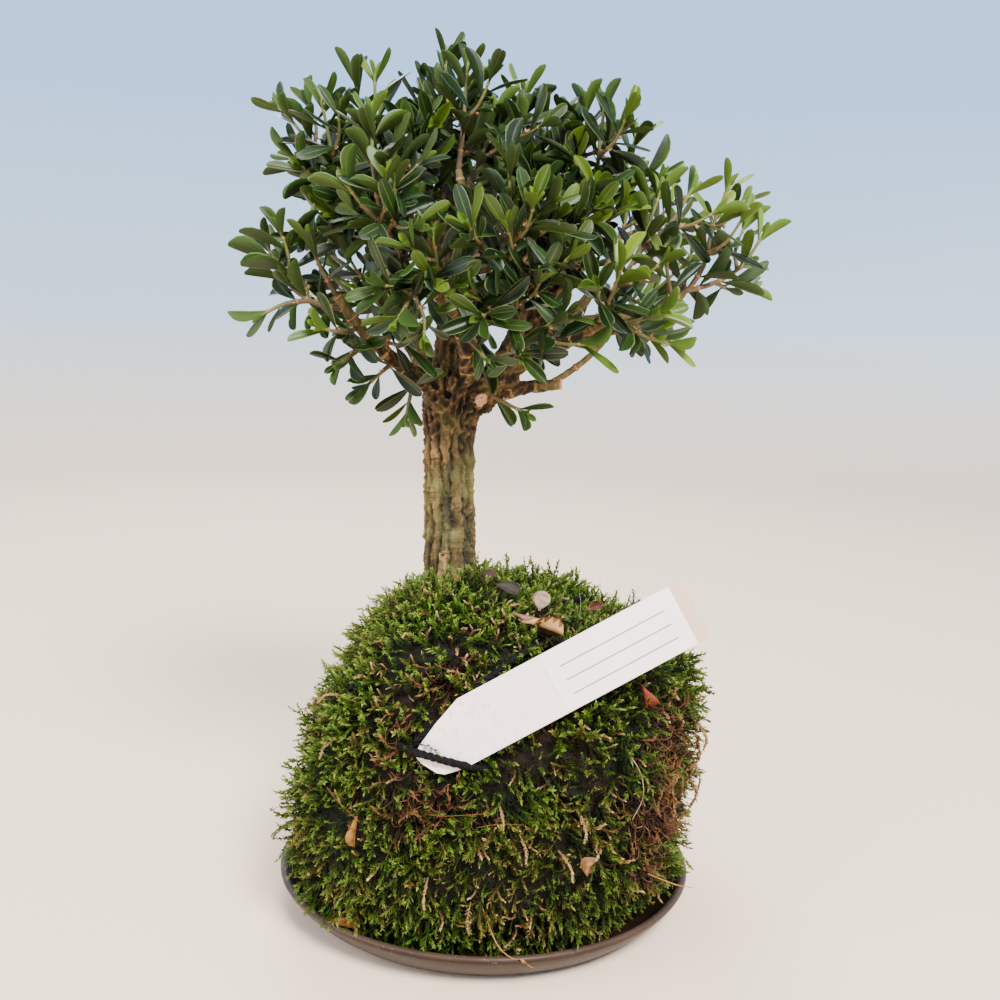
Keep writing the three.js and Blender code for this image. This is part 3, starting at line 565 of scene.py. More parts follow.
# swells on a ball: where each one faces, how high it is and how sharp
def swelled(radius, directions, swells):
    for towards, height, focus in swells:
        radius = radius + height * np.exp(focus * (directions @ unit(towards) - 1))
    return radius


# millimetres from the ball's centre to its surface, along rows of unit directions
def ballRadius(directions):
    above = directions[:, 2] > 0
    power = np.where(above, ball["squarenessAbove"], ball["squarenessBelow"])
    high = np.where(above, ball["heightAbove"], ball["heightBelow"])
    total = (np.abs(directions[:, 0] / ball["halfWidth"]) ** power
             + np.abs(directions[:, 1] / ball["halfDepth"]) ** power
             + np.abs(directions[:, 2] / high) ** power)
    return swelled(total ** (-1 / power), directions, ball["swells"])


def insideWall(points, clearance):  # keeps low points off the saucer's sloping wall
    reach = np.hypot(points[:, 0], points[:, 1])
    room = ball["wellRadius"] - clearance + (points[:, 2] - ball["wellFloor"])
    low = points[:, 2] < ball["saucerHeight"] + clearance
    shrink = np.where(low & (reach > room), room / np.maximum(reach, 1e-6), 1)
    points[:, 0] *= shrink
    points[:, 1] *= shrink
    return points


# label

label = {
    "length": 88,  # mm
    "width": 18,
    "thickness": 0.8,
    "edge": 0.22,
    "rightEnd": (57.4, -51.8, 109.8),
    "along": (-0.871, -0.089, -0.484),
    "facing": (0, -0.983, 0.182),
    # half outline: share of the length, share of the width
    "outline": [(0, -0.5), (0.8, -0.5), (0.9, -0.31), (0.975, -0.13), (0.995, -0.06), (1, 0.03),
                (0.994, 0.13), (0.965, 0.37), (0.945, 0.44), (0.9, 0.485), (0.87, 0.5), (0, 0.5)],
    "noseHeight": 0.03,  # of the outline's far end
    "bow": 0.7,  # its middle bows away from the ball
    "cell": 4,  # of the grid that lets it bow
}
labelAlong = unit(label["along"])
labelAcross = unit(np.cross(unit(label["facing"]), labelAlong))
labelFacing = np.cross(labelAlong, labelAcross)
labelEnd = np.array(label["rightEnd"], float)


def labelSpot(points):  # along, across and in front of the label, for rows of points
    offset = points - labelEnd
    return offset @ labelAlong, offset @ labelAcross, offset @ labelFacing


def labelBow(along):
    share = np.clip(along / label["length"], 0, 1)
    return label["bow"] * 4 * share * (1 - share)


# a flat piece in the label's plane: cells inside an outline, with a rounded edge
def labelPlate(name, outline, back, front, edge):
    shape = bmesh.new()
    corners = [shape.verts.new((x, y, 0)) for x, y in outline]
    shape.faces.new(corners)
    bmesh.ops.triangulate(shape, faces=shape.faces[:])
    for step in np.arange(label["cell"], label["length"], label["cell"]):
        bmesh.ops.bisect_plane(shape, geom=shape.verts[:] + shape.edges[:] + shape.faces[:],
                               plane_co=(step, 0, 0), plane_no=(1, 0, 0))
    bmesh.ops.recalc_face_normals(shape, faces=shape.faces[:])
    if shape.faces[0].normal.z < 0:
        bmesh.ops.reverse_faces(shape, faces=shape.faces[:])
    lower = bmesh.ops.extrude_face_region(shape, geom=shape.faces[:])
    for vert in [one for one in lower["geom"] if isinstance(one, bmesh.types.BMVert)]:
        vert.co.z += front - back
    for vert in shape.verts:
        vert.co.z += back
    bmesh.ops.recalc_face_normals(shape, faces=shape.faces[:])
    mesh = bpy.data.meshes.new(name)
    shape.to_mesh(mesh)
    shape.free()
    points = readPoints(mesh)
    storeValues(mesh, "spot", points * mm, "FLOAT_VECTOR")
    movePoints(mesh, labelEnd + np.outer(points[:, 0], labelAlong) + np.outer(points[:, 1], labelAcross)
               + np.outer(points[:, 2] + labelBow(points[:, 0]), labelFacing))
    piece = newObject(name, mesh)
    bevel = piece.modifiers.new("edge", "BEVEL")
    bevel.width = edge * mm
    bevel.segments = 2
    bevel.limit_method = "ANGLE"
    bevel.angle_limit = math.radians(50)
    return piece


sticker = {
    "fromEnd": 4,  # mm
    "length": 41,
    "width": 17.6,
    "corner": 2,
    "cornerSteps": 5,
    "thickness": 0.16,
    "edge": 0.04,
    "gap": 0.02,
    "lines": (-3.6, 0.6, 4.8),  # ruled writing lines, across the label
    "lineHalf": 0.18,  # half the width of a line
    "lineStart": 8,
    "lineEnd": 41,
}


def makeLabel():
    def plastic(graph):
        spot = graph.attribute("spot", "Vector")
        cloud = graph.noise(45, spot, 4)
        soil = graph.noise(420, spot, 5, 0.7)
        grit = graph.noise(1500, spot, 2, 0.5)
        alongWay = graph.part(spot, "X")
        stained = graph.above(alongWay, 0.043, 60) * graph.clamp((soil + cloud * 0.5 - 0.78) * 5)
        dirty = graph.above(grit, 0.68, 14) * graph.above(soil, 0.48, 8)
        clean = graph.ramp(cloud, (0.25, 238, 220, 213), (0.75, 247, 231, 224))
        beige = graph.mixColour(graph.clamp((0.0042 - alongWay) * 2500), clean, (208, 178, 154))
        soiled = graph.mixColour(stained * 0.6, beige, (196, 166, 136))
        return {"Base Color": graph.mixColour(dirty, soiled, (84, 62, 44)),
                "Roughness": 0.34 + cloud * 0.2,
                "Normal": graph.bump(graph.noise(700, spot, 3), 0.00006, 0.3)}

    outline = [(x * label["length"], y * label["width"]) for x, y in label["outline"]]
    half = label["thickness"] / 2
    plate = labelPlate("stickLabel", outline, -half, half, label["edge"])
    plate.data.materials.append(newMaterial("palePlastic", plastic, {}))
    finishPiece(plate, "label", "plant_label")

    def paper(graph):
        spot = graph.attribute("spot", "Vector")
        cloud = graph.noise(60, spot, 3)
        fibre = graph.noise(2200, spot, 2)
        ink = 0
        for line in sticker["lines"]:
            stroke = graph.maths("ABSOLUTE", graph.part(spot, "Y") - line * mm) < sticker["lineHalf"] * mm
            ink = graph.maths("MAXIMUM", ink, stroke)
        alongWay = graph.part(spot, "X")
        inside = (alongWay > sticker["lineStart"] * mm) * (alongWay < sticker["lineEnd"] * mm)
        white = graph.ramp(cloud, (0.25, 244, 226, 221), (0.75, 251, 236, 231))
        return {"Base Color": graph.mixColour(ink * inside * 0.85, white, (84, 76, 82)),
                "Roughness": 0.42 + fibre * 0.14,
                "Normal": graph.bump(fibre, 0.00003, 0.25)}

    x0, x1 = sticker["fromEnd"], sticker["fromEnd"] + sticker["length"]
    y, corner, steps = sticker["width"] / 2, sticker["corner"], sticker["cornerSteps"]
    outline = []
    for cx, cy, start in ((x0 + corner, y - corner, 90), (x0 + corner, -y + corner, 180),
                          (x1 - corner, -y + corner, 270), (x1 - corner, y - corner, 0)):
        for part in range(steps + 1):
            angle = math.radians(start + 90 * part / steps)
            outline.append((cx + corner * math.cos(angle), cy + corner * math.sin(angle)))
    back = half + sticker["gap"]
    patch = labelPlate("labelSticker", outline, back, back + sticker["thickness"], sticker["edge"])
    patch.data.materials.append(newMaterial("coatedPaper", paper, {}))
    finishPiece(patch, "sticker", "label_sticker")


makeLabel()
print("label made")

# cord

cord = {
    "radius": 1.25,  # mm, of the whole cord
    "points": 96,  # on each turn
    "lift": 1.9,  # mm from the ball to the cord's middle
    "wallRoom": 2.85,  # mm from its middle to the saucer's wall
    "floorGap": 0.35,
    "labelMargin": 3.5,  # mm round the label where it still makes way
    "labelGap": 0.2,
    "reach": 12,
    "sunk": 6,  # mm, where the moss has grown over it
    "sinkSteps": 2.5,  # points from a bare stretch to where it is sunk
    # stretches that the moss leaves bare: which turn, first and last of its points
    "bare": [(0, 0, 10), (2, 1, 4), (2, 12, 12)],
    # two places on the ball, the angle that sets a turn off, and whether it runs over the label
    "turns": [
        ((8, -42.5, 46), (-24.5, -55, 19.5), 0, False),
        ((8, -42.5, 46), (-24.5, -55, 19.5), -0.27, False),
        ((-26, -54, 20), (25, -57, 8), 0, True),
    ],
    "twistLength": 6,  # mm for one full turn of the strands
    "twistPoints": 440,
    "strands": (0, 2.094, 4.189),  # where each one stands in the twist
    "strandShare": 0.7,  # a strand's radius against the cord's
    "strandOffset": 0.39,  # of a strand's radius, from the middle
    "strandSides": 8,
}


def cordPath(first, second, tilt, isOver):
    start = unit(first)
    normal = unit(np.cross(start, second))
    side = np.cross(normal, start)
    angles = 2 * np.pi * np.arange(cord["points"]) / cord["points"]
    directions = (np.outer(np.cos(angles), start) + np.outer(np.sin(angles), side)) * math.cos(tilt)
    directions = directions + normal * math.sin(tilt)
    points = ballCentre + directions * (ballRadius(directions) + cord["lift"])[:, None]
    points[:, 2] = np.maximum(points[:, 2], ball["floor"] + cord["radius"] + cord["floorGap"])
    points = insideWall(points, cord["wallRoom"])
    along, across, depth = labelSpot(points)
    margin = cord["labelMargin"]
    near = ((along > -margin) & (along < label["length"] + margin)
            & (np.abs(across) < label["width"] / 2 + margin) & (np.abs(depth) < cord["reach"]))
    needed = label["thickness"] / 2 + cord["radius"] + cord["labelGap"]
    if isOver:
        shift = np.maximum(0, needed + labelBow(along) - depth)
    else:
        shift = np.minimum(0, -needed - depth)
    points = points + directions * np.where(near, shift / (directions @ labelFacing), 0)[:, None]
    for _ in range(2):  # a taut cord has no sharp corners
        points = 0.5 * points + 0.25 * (np.roll(points, 1, 0) + np.roll(points, -1, 0))
    return points


cordPaths = [cordPath(*turn) for turn in cord["turns"]]


# away from the bare stretches the moss has grown over the cord
def sunkPath(turn):
    path = cordPaths[turn]
    count = len(path)
    gap = np.full(count, count / 2)
    for index, first, last in cord["bare"]:
        if index != turn:
            continue
        for one in range(first, last + 1):
            gap = np.minimum(gap, np.abs((np.arange(count) - one + count / 2) % count - count / 2))
    inward = ballCentre - path
    inward = inward / np.linalg.norm(inward, axis=1)[:, None]
    return path + inward * (np.clip(gap / cord["sinkSteps"], 0, 1) * cord["sunk"])[:, None]


def makeCord():
    points = np.concatenate([sunkPath(turn) for turn in range(len(cordPaths))]) * mm
    edges = []
    for turn, path in enumerate(cordPaths):
        count = len(path)
        edges += [(turn * count + i, turn * count + (i + 1) % count) for i in range(count)]
    mesh = bpy.data.meshes.new("cordLines")
    mesh.from_pydata([tuple(point) for point in points], edges, [])
    lines = newObject("cordLines", mesh)
    tree, graph, entry = newTree("twistedCord", {"Strand Radius": "Float", "Twist Length": "Float",
                                                 "Material": "Material"})
    curve = graph.node("GeometryNodeMeshToCurve", {}, {"Mesh": entry["Geometry"]})
    smooth = graph.node("GeometryNodeResampleCurve", {}, {"Curve": curve, "Count": cord["twistPoints"]})
    place = graph.node("GeometryNodeSplineParameter", {}, {}, out="Length")
    twist = place / entry["Twist Length"] * 2 * math.pi
    tilted = graph.node("GeometryNodeSetCurveTilt", {}, {"Curve": smooth, "Tilt": twist})
    circle = graph.node("GeometryNodeCurvePrimitiveCircle", {"mode": "RADIUS"},
                        {"Resolution": cord["strandSides"], "Radius": entry["Strand Radius"]})
    joint = graph.tree.nodes.new("GeometryNodeJoinGeometry")
    strands = []
    for turn in cord["strands"]:
        parts = {"X": math.cos(turn), "Y": math.sin(turn)}
        offset = graph.node("ShaderNodeCombineXYZ", {}, {
            axis: entry["Strand Radius"] * (cord["strandOffset"] * share) for axis, share in parts.items()})
        moved = graph.node("GeometryNodeTransform", {}, {"Geometry": circle, "Translation": offset})
        strands.append(graph.node("GeometryNodeCurveToMesh", {}, {"Curve": tilted, "Profile Curve": moved}))
    for strand in strands:
        graph.tree.links.new(strand.socket, joint.inputs[0])
    endTree(graph, Wire(graph, joint.outputs[0]), entry["Material"])

    def paint(graph):
        spot = graph.place()
        fibre = graph.noise(1800, spot, 3, 0.6)
        fluff = graph.noise(300, spot, 3)
        dark = graph.ramp(fibre, (0.3, 4, 4, 4), (0.62, 13, 12, 12), (0.85, 48, 44, 42))
        dusty = graph.mixColour(graph.above(fluff, 0.62, 6) * 0.25, dark, (74, 60, 44))
        return {"Base Color": dusty, "Roughness": 0.7 + fibre * 0.2, "Normal": graph.bump(fibre, 0.0002, 0.6)}

    black = newMaterial("blackTwine", paint, {"Specular IOR Level": 0.15})
    mesh = growMesh("twistedCord", lines, tree, {
        "Strand Radius": cord["radius"] * cord["strandShare"] * mm, "Twist Length": cord["twistLength"] * mm,
        "Material": black})
    mesh.shade_smooth()
    piece = newObject("twistedCord", mesh)
    finishPiece(piece, "cord", "binding_cord")


makeCord()
print("cord made")

# moss
moss = {
    "bedDetail": 6,
    "bedDepth": 2.4,  # mm under the solids' plain surface
    "bedSwell": 3,
    "bedScale": 4.2,
    "wallRoom": 3.4,  # mm from the bed to the saucer's wall
    "pressedBefore": 3,  # mm beside the label where it still presses on the bed
    "pressedAround": 2,
    "pressedDeep": 9,
    # places where the real ball is slimmer than its solid: where they face, mm and how sharp
    "hollows": [((0.72, -0.5, -0.55), -5.5, 7), ((-0.85, -0.2, 0.35), -1.5, 6), ((0.92, -0.2, -0.38), -5, 7),
                ((0.56, 0, 0.83), -6.5, 10), ((0.2, 0.1, 1), -2, 14), ((-0.42, -0.1, 0.9), 3, 30),
                ((0.86, -0.5, 0.02), -3.5, 40)],
    "patches": 8,  # sectors of the ball, each a piece of its own
    "spacing": 1.36,  # mm between shoots
    "densest": 600000.0,  # shoots on a square metre
    "height": 10,  # mm, of a full shoot
    "bareRoom": 0.22,  # below this share of its height there is no shoot
    "lean": 0.6,  # of each shoot on its own
    "sweep": 3.2,  # of neighbours together
    "droop": 0.42,
    "hangFrom": 0.08,  # metres up: below this the shoots hang more
    "fibreHang": 0.9,
    "heapScale": 75,  # how close together the high and the low places are
    "toneScale": 42,
    "seed": 4,
    # where shoots grow short, in mm: behind the label, beside the bare cord, round the trunk and low down
    "labelMargin": 0.4,
    "labelReach": 8,
    "cordRoom": 2.6,
    "cordRise": 0.3,  # how much of a shoot's height comes back for each mm beyond the room
    "trunkMiddle": -13.3,
    "trunkRoom": 8,
    "trunkEdge": 0.3,
    "trunkRise": 0.35,
    "trunkFrom": 90,
    "lowHeights": [4, 12, 22],
    "lowRooms": [0.6, 0.75, 1],
    # where shoots come to lie, in mm: on the saucer as far as its reach, and behind the label
    "saucerReach": 67.3,
    "saucerGap": 0.12,
    "lowest": 0.3,
    "labelGap": 0.3,
    "labelFront": 9,
    "flattened": 0.97,  # of what stands in front of the label's back, and how far behind it that lies then
    "behind": 0.35,
    # brown fibres and dry shoots: middle in mm, reach in mm, how much
    "fibrePatches": [((57, -40, 66), 14, 1.3), ((53, -47, 48), 14, 1.2), ((62, -26, 54), 12, 0.8),
                     ((47, -52, 32), 9, 0.9), ((-13, -47, 87), 7, 1), ((-22, -54, 71), 6.5, 1),
                     ((-19, -58, 56), 8, 0.8), ((-4, -60, 55), 6, 0.5), ((0, -12, 105), 7, 0.8),
                     ((-40, 40, 60), 12, 0.7), ((30, 52, 40), 10, 0.6)],
    "dryPatches": [((12, -33, 99), 12, 0.5), ((-8, -44, 92), 11, 0.45), ((30, -62, 48), 12, 0.3),
                   ((4, -62, 38), 10, 0.3), ((10, -60, 18), 12, 0.35), ((-30, -45, 80), 9, 0.35),
                   ((50, -40, 80), 9, 0.5), ((0, 50, 70), 14, 0.4), ((-55, 10, 40), 12, 0.3)],
    "dryShare": 0.05,  # of the shoots everywhere
}


# A leaflet is a small closed kite with a keel on its outer side; along runs from a shoot's root to its tip.
def addLeaflet(points, faces, along, root, tip, out, width, low, high):
    axis = unit(tip - root)
    side = unit(np.cross(axis, out))
    keel = np.cross(side, axis)
    middle = root * 0.6 + tip * 0.4 - keel * width * 0.5
    start = len(points)
    points.extend([root, middle + side * width, middle - side * width, tip])
    along.extend([low, lerp(low, high, 0.5), lerp(low, high, 0.5), high])
    faces.extend([(start, start + 1, start + 3), (start, start + 3, start + 2),
                  (start, start + 2, start + 1), (start + 1, start + 2, start + 3)])


def addShoot(parts, draw, bend, leaflets=0, spread=50, size=0.2, width=0.036, curl=0, stem=0.026, turn=0,
             length=1, steps=3, whorl=2.4):
    points, faces, along = parts
    spine, heading = [np.zeros(3)], 0
    for i in range(steps):
        heading += bend / steps + curl * (i / steps) ** 2 + 0.16 * (draw() - 0.5)
        across = math.sin(heading)
        way = np.array([across * math.cos(turn), across * math.sin(turn), math.cos(heading)])
        spine.append(spine[-1] + length / steps * way)
    line = Line(spine)
    tubePoints, tubeFaces = tube(line, steps, 3, lambda share: stem * (1 - 0.6 * share))
    first = len(points)
    points += tubePoints
    faces += [tuple(i + first for i in face) for face in tubeFaces]
    along += [0] + [0.8 * i / steps for i in range(steps + 1) for k in range(3)] + [0.8]
    for i in range(leaflets):
        share = min(1, 0.1 + 0.92 * ((i + draw() * 0.7) / leaflets) ** 0.85)
        root, axis = line.point(share), line.tangent(share)
        out = turned(unit(np.cross(axis, (0, 1, 0.01))), axis, whorl * i + 0.8 * draw())
        angle = math.radians(spread * (1.2 - 0.6 * share) * (0.75 + 0.5 * draw()))
        reach = size * (1.1 - 0.3 * share) * (0.75 + 0.5 * draw())
        tip = root + reach * (axis * math.cos(angle) + out * math.sin(angle))
        addLeaflet(points, faces, along, root - axis * 0.01, tip, out, width, share * 0.7,
                   min(1, share * 0.75 + 0.3))


mossShoots = [
    # green feathers
    [{"bend": 0.5, "leaflets": 23, "spread": 50}],
    [{"bend": 0.9, "leaflets": 22, "spread": 42, "size": 0.19, "width": 0.034}],
    [{"bend": 0.3, "leaflets": 23, "spread": 56, "size": 0.18, "curl": 0.3}],
    [{"bend": 0.6, "leaflets": 14, "spread": 46, "size": 0.19},
     {"bend": 0.9, "leaflets": 9, "spread": 48, "size": 0.17, "turn": 2.5, "length": 0.7}],
    [{"bend": 0.7, "leaflets": 22, "spread": 62, "size": 0.23, "width": 0.026, "whorl": math.pi}],
    [{"bend": 1.1, "leaflets": 20, "spread": 58, "size": 0.17, "curl": 0.35}],
    # dry shoots, curled and pale at the tip
    [{"bend": 0.5, "leaflets": 20, "spread": 34, "width": 0.05, "curl": 0.7, "stem": 0.032, "steps": 4}],
    [{"bend": 0.2, "leaflets": 19, "spread": 28, "size": 0.18, "width": 0.055, "curl": 1, "stem": 0.04,
      "steps": 4}],
    [{"bend": 0.9, "leaflets": 20, "spread": 42, "width": 0.042, "curl": 0.6, "stem": 0.03}],
    # brown fibres
    [{"bend": 0.8, "curl": 0.9, "stem": 0.022, "steps": 6},
     {"bend": 1.2, "curl": 0.6, "stem": 0.02, "steps": 5, "turn": 2.4, "length": 0.9}],
    [{"bend": 1.3, "leaflets": 4, "spread": 40, "width": 0.024, "curl": -0.8, "stem": 0.024, "steps": 6},
     {"bend": 0.5, "curl": 1.2, "stem": 0.018, "steps": 6, "turn": -2, "length": 1.1}],
    [{"bend": 1.7, "leaflets": 9, "spread": 30, "size": 0.22, "width": 0.04, "curl": 0.4, "stem": 0.034,
      "steps": 5},
     {"bend": 0.9, "curl": -1.3, "stem": 0.02, "steps": 6, "turn": 1.2, "length": 0.8}],
]
firstDry, firstFibre = 6, 9  # where these kinds start among the moss shoots


def shootParts(which, draw):  # points, faces and how far along the shoot each point is
    parts = ([], [], [])
    for axis in mossShoots[which]:
        addShoot(parts, draw, **axis)
    return parts


def makeShootSet():
    meshes = []
    for index in range(len(mossShoots)):
        points, faces, along = shootParts(index, randomStream(moss["seed"] + 31 * index))
        mesh = meshFrom(f"mossShoot{index:02d}", points, faces, smooth=False)
        kind = 0 if index < firstDry else 0.5 if index < firstFibre else 1
        storeValues(mesh, "along", along)
        storeValues(mesh, "kind", np.full(len(points), kind))
        meshes.append(mesh)
    return newSet("mossShoots", meshes)


def nearestGap(points, path):
    return np.min(np.linalg.norm(points[:, None, :] - path[None, :, :], axis=2), axis=1)


# which points stand inside the label's outline, and how far in front of its back
def underLabel(points, margin):
    along, across, depth = labelSpot(points)
    lower = sorted((x, y) for x, y in label["outline"] if y <= label["noseHeight"])
    upper = sorted((x, y) for x, y in label["outline"] if y >= label["noseHeight"])
    low, high = (np.interp(along / label["length"], *zip(*side)) * label["width"] for side in (lower, upper))
    inside = ((along > -margin) & (along < label["length"] + margin)
              & (across > low - margin) & (across < high + margin))
    return inside, depth + label["thickness"] / 2


# how tall a shoot may grow at each point: less beside the bare cord, behind the label and on the trunk
def mossRoom(points):
    inside, depth = underLabel(points, moss["labelMargin"])
    room = np.where(inside & (depth < moss["labelReach"]), np.clip(-depth / moss["height"], 0, 1), 1)
    for turn, first, last in cord["bare"]:
        gap = nearestGap(points, cordPaths[turn][first:last + 1]) - moss["cordRoom"]
        room = np.minimum(room, np.clip(gap * moss["cordRise"], 0, 1))
    gap = np.hypot(points[:, 0] - moss["trunkMiddle"], points[:, 1]) - moss["trunkRoom"]
    allowed = np.clip(moss["trunkEdge"] + gap * moss["trunkRise"], 0, 1)
    room = np.where(points[:, 2] > moss["trunkFrom"], np.minimum(room, allowed), room)
    return np.minimum(room, np.interp(points[:, 2], moss["lowHeights"], moss["lowRooms"]))


def patchShare(points, patches):
    share = np.zeros(len(points))
    for middle, reach, amount in patches:
        gap = np.linalg.norm(points - np.array(middle), axis=1)
        share = np.maximum(share, amount * np.clip(1.6 - 1.2 * gap / reach, 0, 1))
    return share


def makeBed(name):
    shape = bmesh.new()
    bmesh.ops.create_icosphere(shape, subdivisions=moss["bedDetail"], radius=1)
    mesh = bpy.data.meshes.new(name)
    shape.to_mesh(mesh)
    shape.free()
    directions = np.array([vert.co.normalized() for vert in mesh.vertices])
    swell = np.array([noise.fractal(Vector(way) * moss["bedScale"], 0.8, 2, 4) for way in directions])
    radius = ballRadius(directions) - moss["bedDepth"] + moss["bedSwell"] * swell
    radius = swelled(radius, directions, moss["hollows"])
    points = ballCentre + directions * radius[:, None]
    points[:, 2] = np.maximum(points[:, 2], ball["floor"])
    points = insideWall(points, moss["wallRoom"])
    # the moss lies lower where the label presses on it
    along, across, depth = labelSpot(points)
    around = moss["pressedAround"]
    pressed = ((along > -moss["pressedBefore"]) & (along < label["length"] + around)
               & (np.abs(across) < label["width"] / 2 + around) & (depth > -around))
    push = np.where(pressed, np.clip(depth + around, 0, moss["pressedDeep"]), 0)
    points = points - labelFacing * push[:, None]
    movePoints(mesh, points)
    mesh.shade_smooth()
    return mesh, points


def mossTree():
    tree, graph, entry = newTree("mossShootsOnBed", {
        "Shoots": "Collection", "Spacing": "Float", "Height": "Float", "Droop": "Float", "Lean": "Float",
        "Sweep": "Float", "Dry Share": "Float", "Seed": "Int", "Material": "Material"})
    places = graph.node("GeometryNodeDistributePointsOnFaces", {"distribute_method": "POISSON"}, {
        "Mesh": entry["Geometry"], "Distance Min": entry["Spacing"], "Density Max": moss["densest"],
        "Seed": entry["Seed"]})
    away = Wire(graph, places.socket.node.outputs["Normal"])

    def chance(kind, low, high, salt):
        return graph.chance(kind, low, high, entry["Seed"] + salt)

    spot = graph.node("GeometryNodeInputPosition")
    height = graph.part(spot, "Z")
    heap = graph.noise(moss["heapScale"], spot, 3)
    tone = graph.noise(moss["toneScale"], spot, 3, 0.6)
    for name, value in (("tone", tone), ("wild", chance("FLOAT", 0.0, 1.0, 1))):
        places = graph.node("GeometryNodeStoreNamedAttribute", {"data_type": "FLOAT", "domain": "POINT"},
                            {"Geometry": places, "Name": name, "Value": value})
    jitter = graph.node("ShaderNodeVectorMath", {"operation": "SCALE"},
                        {0: chance("FLOAT_VECTOR", (-1, -1, -1), (1, 1, 1), 2), "Scale": entry["Lean"]})
    swirl = graph.node("ShaderNodeTexNoise", {}, {"Vector": spot, "Scale": moss["heapScale"], "Detail": 1},
                       out="Color")
    sweep = graph.node("ShaderNodeVectorMath", {"operation": "SCALE"},
                       {0: graph.vectorMaths("SUBTRACT", swirl, (0.5, 0.5, 0.5)), "Scale": entry["Sweep"]})
    # shoots hang more on the lower half, where they fall over the saucer
    isFibre = chance("FLOAT", 0.0, 1.0, 6) < graph.named("fibre")
    isDry = chance("FLOAT", 0.0, 1.0, 7) < graph.named("dry") + entry["Dry Share"]
    hang = entry["Droop"] * (0.35 + graph.clamp((moss["hangFrom"] - height) * 16) * 1.6)
    hang = hang + isFibre * moss["fibreHang"]
    down = graph.node("ShaderNodeCombineXYZ", {}, {"Z": hang * -1})
    way = graph.vectorMaths("ADD", away, jitter)
    way = graph.vectorMaths("ADD", way, graph.vectorMaths("ADD", down, sweep))
    facing = graph.node("FunctionNodeAlignRotationToVector", {"axis": "Z"}, {"Vector": way})
    spin = graph.node("ShaderNodeCombineXYZ", {}, {"Z": chance("FLOAT", 0.0, 2 * math.pi, 3)})
    turn = graph.node("FunctionNodeRotateRotation", {"rotation_space": "LOCAL"}, {
        "Rotation": facing, "Rotate By": graph.node("FunctionNodeEulerToRotation", {}, {"Euler": spin})})
    size = (heap * 2.2 - 0.27) * chance("FLOAT", 0.68, 1.15, 4) * (1 + isFibre * 0.5 - isDry * 0.22)
    size = graph.maths("MINIMUM", size, graph.named("room") * 1.2)
    # the dry and the fibre shoots are half as many as the green ones
    variant = chance("INT", 0, firstDry - 1, 5)
    few = graph.maths("FLOOR", variant * 0.5)
    index = isDry * (few + firstDry) + (1 - isDry) * variant
    index = isFibre * (few + firstFibre) + (1 - isFibre) * index
    planted = graph.plant(places, entry["Shoots"], {
        "Selection": graph.named("room") > moss["bareRoom"], "Rotation": turn,
        "Instance Index": graph.maths("FLOOR", index + 0.5), "Scale": size * entry["Height"]})
    endTree(graph, planted, entry["Material"])
    return tree


def mossPaint(graph):
    along, tone, wild = graph.attribute("along"), graph.attribute("tone"), graph.attribute("wild")
    kind = graph.attribute("kind")
    spot = graph.place()
    fine = graph.noise(900, spot, 2)
    # each ramp runs dark at a shoot's root to light at its tip: partly the moss's own darker base, partly
    # painted shade in the gaps between crowded shoots
    shadedGreen = graph.ramp(along, (0, 3, 4, 1), (0.35, 14, 22, 2), (0.7, 36, 56, 6), (1, 88, 108, 26))
    litGreen = graph.ramp(along, (0, 5, 7, 1), (0.35, 28, 44, 4), (0.7, 70, 98, 13), (1, 144, 164, 62))
    olive = graph.ramp(along, (0, 10, 7, 2), (0.35, 38, 31, 8), (0.7, 78, 66, 21), (1, 144, 126, 60))
    straw = graph.ramp(along, (0, 24, 14, 6), (0.35, 66, 46, 22), (0.7, 120, 90, 50), (1, 204, 170, 120))
    fibre = graph.ramp(along, (0, 12, 6, 3), (0.4, 46, 25, 12), (1, 118, 80, 46))
    # painted light: the green is painted lighter towards the top and the left, from its shaded copy to its
    # lit copy
    lit = graph.clamp((graph.part(spot, "Z") - 0.05) * 9 - graph.part(spot, "X") * 7 + 0.25)
    green = graph.mixColour(graph.clamp(lit * 0.6 + wild * 0.35), shadedGreen, litGreen)
    living = graph.mixColour(graph.clamp((tone + wild * 0.35 - 0.72) * 5), green, olive)
    varied = graph.mixColour(graph.clamp(fine * 0.5) * 0.4, living, (24, 36, 6))
    dried = graph.mixColour(graph.clamp(kind * 4), varied, straw)
    return {"Base Color": graph.mixColour(graph.above(kind, 0.6, 4), dried, fibre),
            "Roughness": 0.5 + fine * 0.25}


# shoots that reach the saucer lie on it, and the ones that reach the label may stay behind it
def settleShoots(mesh, isBehind):
    points = readPoints(mesh) / mm
    well = sorted(saucer["profile"][saucer["rim"]:])
    reach = np.hypot(points[:, 0], points[:, 1])
    floorHeight = np.interp(reach, *zip(*well)) + moss["saucerGap"]
    low = np.where(reach < moss["saucerReach"], floorHeight, moss["lowest"])
    points[:, 2] = np.maximum(points[:, 2], np.maximum(low, moss["lowest"]))
    if isBehind:
        inside, depth = underLabel(points, moss["labelGap"])
        pressed = inside & (depth > -moss["labelGap"]) & (depth < moss["labelFront"])
        points -= labelFacing * np.where(pressed, depth * moss["flattened"] + moss["behind"], 0)[:, None]
    movePoints(mesh, points)


def soilPaint(graph):
    spot = graph.place()
    crumbs = graph.noise(520, spot, 5, 0.65)
    patches = graph.noise(60, spot, 3)
    brown = graph.ramp(crumbs, (0.3, 10, 6, 3), (0.7, 34, 21, 12), (0.9, 62, 40, 24))
    growth = graph.ramp(crumbs, (0.3, 6, 8, 2), (0.75, 20, 26, 7))
    return {"Base Color": graph.mixColour(graph.above(patches, 0.42, 6), brown, growth),
            "Roughness": 0.9, "Normal": graph.bump(crumbs, 0.0015, 0.9)}


